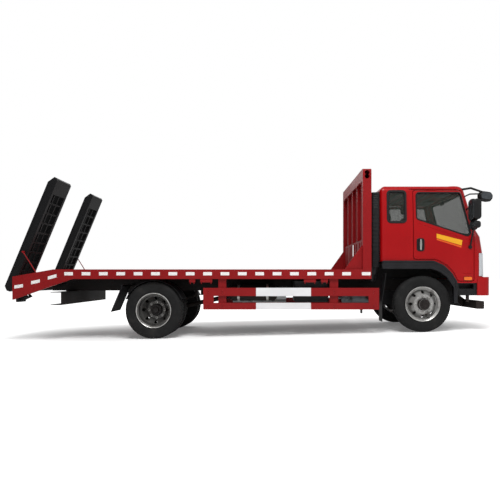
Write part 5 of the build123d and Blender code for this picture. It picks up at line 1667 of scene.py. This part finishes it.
class TRUCK_OT_mirrors(bpy.types.Operator):
    """Builds the door mirrors and the nose mirror with their arms and glass"""

    bl_idname = "truck.mirrors"
    bl_label = "Mirrors"

    def execute(self, context):
        for name, side in SIDES:
            shell = bmesh.new()
            mirror_head(shell, (5.500, 5.632), DOOR_MIRROR_SPAN, (2.062, 2.418), 0.062)
            mirror_head(shell, (5.520, 5.622), DOOR_MIRROR_SPAN, (1.917, 2.038), 0.045)
            bent_bar(
                shell, [(5.533, -1.123, 1.604), (5.562, -1.222, 1.960), (5.562, -1.222, 2.375)], 0.014, 12
            )
            bent_bar(shell, [(5.470, -1.060, 2.250), (5.545, -1.200, 2.330)], 0.012, 12)
            bar(shell, (5.533, -1.121, 1.604), (5.533, -1.144, 1.604), 0.037, 24, 0.030)
            if side > 0:
                bmesh.ops.scale(shell, vec=(1, -1, 1), verts=shell.verts)
            piece = finish_piece(
                shell, "door_mirror_shell_" + name, "door_" + name, "mirror_black"
            )
            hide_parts("door_mirror_" + name)

            glass = bmesh.new()
            for z_span, corner, x in MIRROR_GLASSES:
                outline = rounded(rectangle(MIRROR_GLASS_SPAN, z_span), corner, 6)
                prism(glass, outline, (x - 0.003, x + 0.002), "X")
            if side > 0:
                bmesh.ops.scale(glass, vec=(1, -1, 1), verts=glass.verts)
            finish_piece(glass, "door_mirror_glass_" + name, "door_" + name, "mirror_glass")

        shell = bmesh.new()
        oval = rounded(NOSE_MIRROR, 0.04, 5)
        prism(shell, oval, (-1.090, -1.000))
        round_edges(shell, 0.018, 3)
        bent_bar(shell, [(5.390, -1.000, 2.625), (5.580, -1.030, 2.652), (5.790, -1.045, 2.575)], 0.019, 12)
        bent_bar(shell, [(5.420, -1.000, 2.480), (5.560, -1.035, 2.545), (5.780, -1.045, 2.550)], 0.012, 12)
        bar(shell, (5.395, -1.000, 2.600), (5.420, -1.004, 2.650), 0.030, 20, 0.022)
        piece = finish_piece(shell, "nose_mirror_shell", "cab", "mirror_black")
        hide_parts("nose_mirror")
        glass = bmesh.new()
        oval = rounded(NOSE_GLASS, 0.03, 5)
        prism(glass, oval, (-1.0935, -1.088))
        finish_piece(glass, "nose_mirror_glass", "cab", "mirror_glass")
        return {"FINISHED"}


class TRUCK_OT_air_intake(bpy.types.Operator):
    """Adds the intake's louvres, ribs, bellows, cap and duct"""

    bl_idname = "truck.air_intake"
    bl_label = "Air intake"

    def execute(self, context):
        bm = bmesh.new()
        # Louvres near the top, then shallow ribs down the duct, then the bellows
        for index in range(8):
            z = 2.290 + index * 0.030
            outline = [(-1.089, z), (-1.096, z - 0.010), (-1.096, z + 0.004), (-1.089, z + 0.014)]
            prism(bm, outline, (3.840, 3.925), "X")
        for index in range(9):
            z = 1.60 + index * 0.070
            outline = rounded(rectangle((3.812, 3.953), (-1.093, -0.927)), 0.032, 4)
            prism(bm, outline, (z, z + 0.012), "Z")
        for index in range(7):
            z = 1.290 + index * 0.038
            outline = rounded(rectangle((3.806, 3.957), (-1.099, -0.921)), 0.034, 4)
            prism(bm, outline, (z, z + 0.020), "Z")
        outline = rounded(rectangle((3.808, 3.955), (-1.097, -0.923)), 0.034, 4)
        prism(bm, outline, (2.530, 2.566), "Z")
        round_edges(bm, 0.003, 1)
        finish_piece(bm, "intake_ribs_and_cap", "chassis", "black_plastic")

        duct = bmesh.new()
        # The moulded duct turns from the bellows down and inwards to the engine
        path = [
            (3.882, -1.005, 1.275), (3.860, -1.000, 1.150), (3.880, -0.860, 1.060), (3.930, -0.560, 1.040)
        ]
        bent_bar(duct, path, 0.058, 24)
        for share in (0.1, 0.3, 0.5, 0.7, 0.9):
            start, end = Vector(path[2]), Vector(path[3])
            middle = start.lerp(end, share)
            bar(duct, middle, middle + (end - start).normalized() * 0.014, 0.062, 24)
        finish_piece(duct, "intake_duct", "chassis", "black_plastic")
        return {"FINISHED"}


class TRUCK_OT_cab_inside(bpy.types.Operator):
    """Adds the instruments, vents, gear lever, visors, inside mirror and trim"""

    bl_idname = "truck.cab_inside"
    bl_label = "Cab inside"

    def execute(self, context):
        dark = bmesh.new()
        # The instrument hood, the dash's centre stack and its vents
        prism(dark, [(5.315, 1.835), (5.335, 1.925), (5.420, 1.945), (5.520, 1.838)], (0.46, 0.86))
        prism(dark, [(5.293, 1.600), (5.287, 1.775), (5.340, 1.800), (5.340, 1.600)], (-0.22, 0.22))
        for y in (-0.80, -0.40, 0.30, 0.94):
            for index in range(4):
                block(
                    dark, (5.284, 5.300), (y - 0.07, y + 0.07), (1.700 + index * 0.018, 1.710 + index * 0.018)
                )
        # The gear lever with its boot and knob
        for index in range(5):
            radius = 0.075 - index * 0.012
            bar(
                dark,
                (4.98, 0.12, 1.556 + index * 0.016),
                (4.98, 0.12, 1.574 + index * 0.016),
                radius,
                20,
                radius - 0.010,
            )
        bent_bar(dark, [(4.98, 0.12, 1.62), (5.00, 0.12, 1.78), (4.97, 0.12, 1.88)], 0.008)
        bmesh.ops.create_uvsphere(
            dark, u_segments=16, v_segments=10, radius=0.026, matrix=Matrix.Translation((4.968, 0.12, 1.895))
        )
        # Pedals
        for y in (0.50, 0.64, 0.78):
            bent_bar(dark, [(5.56, y, 1.45), (5.50, y, 1.22)], 0.009)
            block(dark, (5.480, 5.500), (y - 0.035, y + 0.035), (1.17, 1.24))
        # The inside mirror hangs from the roof behind the screen
        bent_bar(dark, [(5.40, 0, 2.63), (5.415, 0, 2.555)], 0.008)
        prism(dark, rounded(rectangle((-0.115, 0.115), (2.495, 2.560)), 0.03, 5), (5.405, 5.425), "X")
        finish_piece(dark, "dash_fittings", "cab", "dash_plastic")

        pale = bmesh.new()
        for y in (-0.53, 0.53):
            outline = rounded(rectangle((y - 0.26, y + 0.26), (5.20, 5.36)), 0.04, 4)
            prism(pale, [(b, a) for a, b in outline], (2.600, 2.618), "Z")
        # The roof lining's cross ribs, and the grab handles over the doors
        for index in range(6):
            x = 4.20 + index * 0.19
            block(pale, (x, x + 0.05), (-0.92, 0.92), (2.625, 2.634))
        for y in (-0.99, 0.99):
            bent_bar(pale, [(4.75, y, 2.60), (4.78, y, 2.56), (5.02, y, 2.56), (5.05, y, 2.60)], 0.011)
        round_edges(pale, 0.004, 2)
        finish_piece(pale, "roof_lining_and_visors", "cab", "lining_fabric")
        return {"FINISHED"}


def inflate(piece, cap):
    """Swells a pad as pressurised cloth; no point moves further than the cap."""
    scene = bpy.context.scene
    remesh = piece.modifiers.new("skin", "REMESH")
    remesh.mode = "VOXEL"
    remesh.voxel_size = 0.006
    graph = bpy.context.evaluated_depsgraph_get()
    skin = bpy.data.meshes.new_from_object(piece.evaluated_get(graph))
    piece.modifiers.clear()
    piece.data = skin
    rest = [vert.co.copy() for vert in skin.vertices]
    cloth = piece.modifiers.new("cloth", "CLOTH")
    cloth.settings.use_pressure = True
    cloth.settings.uniform_pressure_force = 4.0
    cloth.settings.effector_weights.gravity = 0.0
    cloth.settings.quality = 4
    cloth.point_cache.frame_start = 1
    cloth.point_cache.frame_end = 20
    for frame_number in range(1, 21):
        scene.frame_set(frame_number)
    graph = bpy.context.evaluated_depsgraph_get()
    swollen = [vert.co.copy() for vert in piece.evaluated_get(graph).data.vertices]
    piece.modifiers.clear()
    for vert, start, end in zip(skin.vertices, rest, swollen):
        move = end - start
        vert.co = start + move * min(1.0, cap / max(move.length, 1e-9))
    scene.frame_set(1)
    skin.shade_smooth()


# One seat's pads in its side view: name, outline, span across the seat, bevel
SEAT_PADS = (
    (
        "cushion",
        [(4.600, 1.622), (5.045, 1.622), (5.045, 1.712), (4.985, 1.742), (4.700, 1.735), (4.612, 1.720)],
        (0.434, 0.906),
        0.020,
    ),
    (
        "back",
        [
            (4.530, 1.700),
            (4.600, 1.710),
            (4.665, 1.742),
            (4.640, 1.900),
            (4.555, 2.190),
            (4.478, 2.176),
            (4.500, 1.900),
        ],
        (0.440, 0.900),
        0.020,
    ),
    (
        "headrest",
        [(4.462, 2.238), (4.528, 2.246), (4.520, 2.385), (4.500, 2.412), (4.462, 2.405), (4.450, 2.370)],
        (0.535, 0.805),
        0.016,
    ),
)


class TRUCK_OT_seats(bpy.types.Operator):
    """Sews and stuffs the two seats and stands them on their boxes"""

    bl_idname = "truck.seats"
    bl_label = "Seats"

    def execute(self, context):
        pads = []
        for part, outline, y_span, bevel in SEAT_PADS:
            bm = bmesh.new()
            prism(bm, outline, y_span)
            round_edges(bm, bevel, 3)
            pad = finish_piece(bm, "seat_" + part + "_left", "cab", "seat_cloth")
            inflate(pad, 0.012)
            twin_mesh = pad.data.copy()
            twin_mesh.transform(Matrix.Diagonal((1, -1, 1, 1)))
            twin_mesh.flip_normals()
            twin = bpy.data.objects.new("seat_" + part + "_right", twin_mesh)
            context.scene.collection.objects.link(twin)
            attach(twin, "cab")
            pads.append(pad)
        frames = bmesh.new()
        for side in (-1, 1):
            block(frames, (4.60, 5.02), (side * 0.47, side * 0.87), (1.360, 1.600))
            block(frames, (4.575, 5.045), (side * 0.445, side * 0.895), (1.595, 1.615))
            for y in (0.61, 0.73):
                bar(frames, (4.505, side * y, 2.150), (4.487, side * y, 2.260), 0.006, 10)
            # A reclining hinge's cover on each flank
            for y in (0.427, 0.913):
                prism(
                    frames,
                    rounded([(4.55, 1.60), (4.72, 1.60), (4.70, 1.70), (4.60, 1.80), (4.54, 1.74)], 0.02, 3),
                    sorted((side * (y - 0.005), side * (y + 0.005))),
                )
        round_edges(frames, 0.006, 2)
        piece = finish_piece(frames, "seat_boxes", "cab", "dash_plastic")
        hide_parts("seats")
        return {"FINISHED"}


# The camera stands level with the chassis, at the distance that the wheels' perspective gives
CAMERA_PLACE = (2.079, -10.1, 1.061)
CAMERA_LENS = 36.9
CAMERA_SHIFT = (-0.046, 0.056)
# Each lamp: name, place, power and size
LAMPS = (
    ("key", (1.0, -7.0, 10.0), 1100.0, 5.0),
    ("fill", (9.0, -5.0, 5.0), 160.0, 5.0),
    ("back", (-2.0, 8.0, 8.0), 350.0, 8.0),
)
LAMP_AIM = Vector((0, 0, 1))
SKY_ON_TRUCK = 0.42
SKY_IN_VIEW = 1.0


class TRUCK_OT_stage(bpy.types.Operator):
    """Sets the pale floor, the soft lamps and the camera"""

    bl_idname = "truck.stage"
    bl_label = "Stage"

    def execute(self, context):
        scene = context.scene
        floor = bpy.data.meshes.new("floor")
        bm = bmesh.new()
        bmesh.ops.create_grid(bm, x_segments=1, y_segments=1, size=60)
        bm.to_mesh(floor)
        bm.free()
        piece = bpy.data.objects.new("floor", floor)
        scene.collection.objects.link(piece)
        material, tree, place, shader = start_material("studio_floor_paper")
        grain = add_node(tree, "ShaderNodeTexNoise", {}, {"Vector": place, "Scale": 2.0})
        pale = ((0.3, hex_colour("F4F4F4")), (0.7, hex_colour("F8F8F8")))
        tint = add_node(tree, "ShaderNodeValToRGB", {}, {"Fac": grain.outputs["Fac"]}, pale)
        # The camera sees the paper glow: faintly near the truck, so that a painted shadow darkens the floor
        # round it, and to white further away, as painted light
        spread = add_node(
            tree, "ShaderNodeMapping", {}, {"Vector": place, "Scale": (0.19, 0.36, 0.0)}
        )
        reach = add_node(
            tree, "ShaderNodeVectorMath", {"operation": "LENGTH"}, {0: spread.outputs["Vector"]}
        )
        painted_shadow_fade = add_node(
            tree,
            "ShaderNodeMapRange",
            {"interpolation_type": "SMOOTHSTEP"},
            {
                "Value": reach.outputs["Value"],
                "From Min": 0.55,
                "From Max": 1.3,
                "To Min": 0.12,
                "To Max": 0.8,
            },
        )
        seen = add_node(tree, "ShaderNodeLightPath").outputs["Is Camera Ray"]
        painted_floor_glow = add_node(
            tree, "ShaderNodeMath", {"operation": "MULTIPLY"}, {0: seen, 1: painted_shadow_fade.outputs[0]}
        )
        set_inputs(
            tree,
            shader,
            {
                "Base Color": tint.outputs["Color"],
                "Roughness": 0.9,
                "Specular IOR Level": 0.0,
                "Emission Color": hex_colour("FFFFFF"),
                "Emission Strength": painted_floor_glow.outputs[0],
            },
        )
        floor.materials.append(material)

        world = bpy.data.worlds.new("studio")
        world.use_nodes = True
        scene.world = world
        nodes = world.node_tree
        nodes.nodes.clear()
        path = add_node(nodes, "ShaderNodeLightPath")
        seen = add_node(
            nodes,
            "ShaderNodeMix",
            {"data_type": "FLOAT"},
            {"Factor": path.outputs["Is Camera Ray"], 2: SKY_ON_TRUCK, 3: SKY_IN_VIEW},
        )
        sky = add_node(
            nodes,
            "ShaderNodeBackground",
            {},
            {"Color": hex_colour("FFFFFF"), "Strength": seen.outputs[0]},
        )
        add_node(nodes, "ShaderNodeOutputWorld", {}, {"Surface": sky.outputs["Background"]})

        for name, place, power, size in LAMPS:
            data = bpy.data.lights.new(name, "AREA")
            data.energy = power
            data.size = size
            lamp = bpy.data.objects.new(name, data)
            scene.collection.objects.link(lamp)
            lamp.location = place
            lamp.rotation_euler = (LAMP_AIM - Vector(place)).to_track_quat("-Z", "Y").to_euler()

        data = bpy.data.cameras.new("photo_camera")
        data.lens = CAMERA_LENS
        data.sensor_width = 36.0
        data.shift_x, data.shift_y = CAMERA_SHIFT
        camera = bpy.data.objects.new("photo_camera", data)
        scene.collection.objects.link(camera)
        level = Matrix.Translation(CAMERA_PLACE) @ Euler((pi / 2, 0, 0)).to_matrix().to_4x4()
        camera.matrix_world = STAND @ level
        scene.camera = camera
        scene.view_settings.view_transform = "Standard"
        return {"FINISHED"}


OPERATORS = (
    TRUCK_OT_stage,
    TRUCK_OT_finish_frame,
    TRUCK_OT_tyres,
    TRUCK_OT_wheels,
    TRUCK_OT_tapes,
    TRUCK_OT_side_guards,
    TRUCK_OT_deck_fittings,
    TRUCK_OT_headboard,
    TRUCK_OT_ramps,
    TRUCK_OT_tail,
    TRUCK_OT_running_gear,
    TRUCK_OT_window_seals,
    TRUCK_OT_door_fittings,
    TRUCK_OT_arch_lips,
    TRUCK_OT_nose,
    TRUCK_OT_mirrors,
    TRUCK_OT_air_intake,
    TRUCK_OT_cab_inside,
    TRUCK_OT_seats,
)


class TRUCK_PT_panel(bpy.types.Panel):
    """Lists the truck's pieces"""

    bl_idname = "TRUCK_PT_panel"
    bl_label = "Recovery truck"
    bl_space_type = "VIEW_3D"
    bl_region_type = "UI"
    bl_category = "Truck"

    def draw(self, context):
        for group in (context.scene.truck_sizes, context.scene.truck_colours):
            column = self.layout.column()
            for name in group.bl_rna.properties.keys():
                if name not in ("rna_type", "name"):
                    column.prop(group, name)
        for operator in OPERATORS:
            self.layout.operator(operator.bl_idname)


CLASSES = (TruckSizes, TruckColours, *OPERATORS, TRUCK_PT_panel)


def register():
    for item in CLASSES:
        bpy.utils.register_class(item)
    bpy.types.Scene.truck_sizes = bpy.props.PointerProperty(type=TruckSizes)
    bpy.types.Scene.truck_colours = bpy.props.PointerProperty(type=TruckColours)


def unregister():
    del bpy.types.Scene.truck_colours
    del bpy.types.Scene.truck_sizes
    for item in reversed(CLASSES):
        bpy.utils.unregister_class(item)


def main():
    register()
    for operator in OPERATORS:
        group, name = operator.bl_idname.split(".")
        getattr(getattr(bpy.ops, group), name)()


if __name__ == "__main__":
    main()
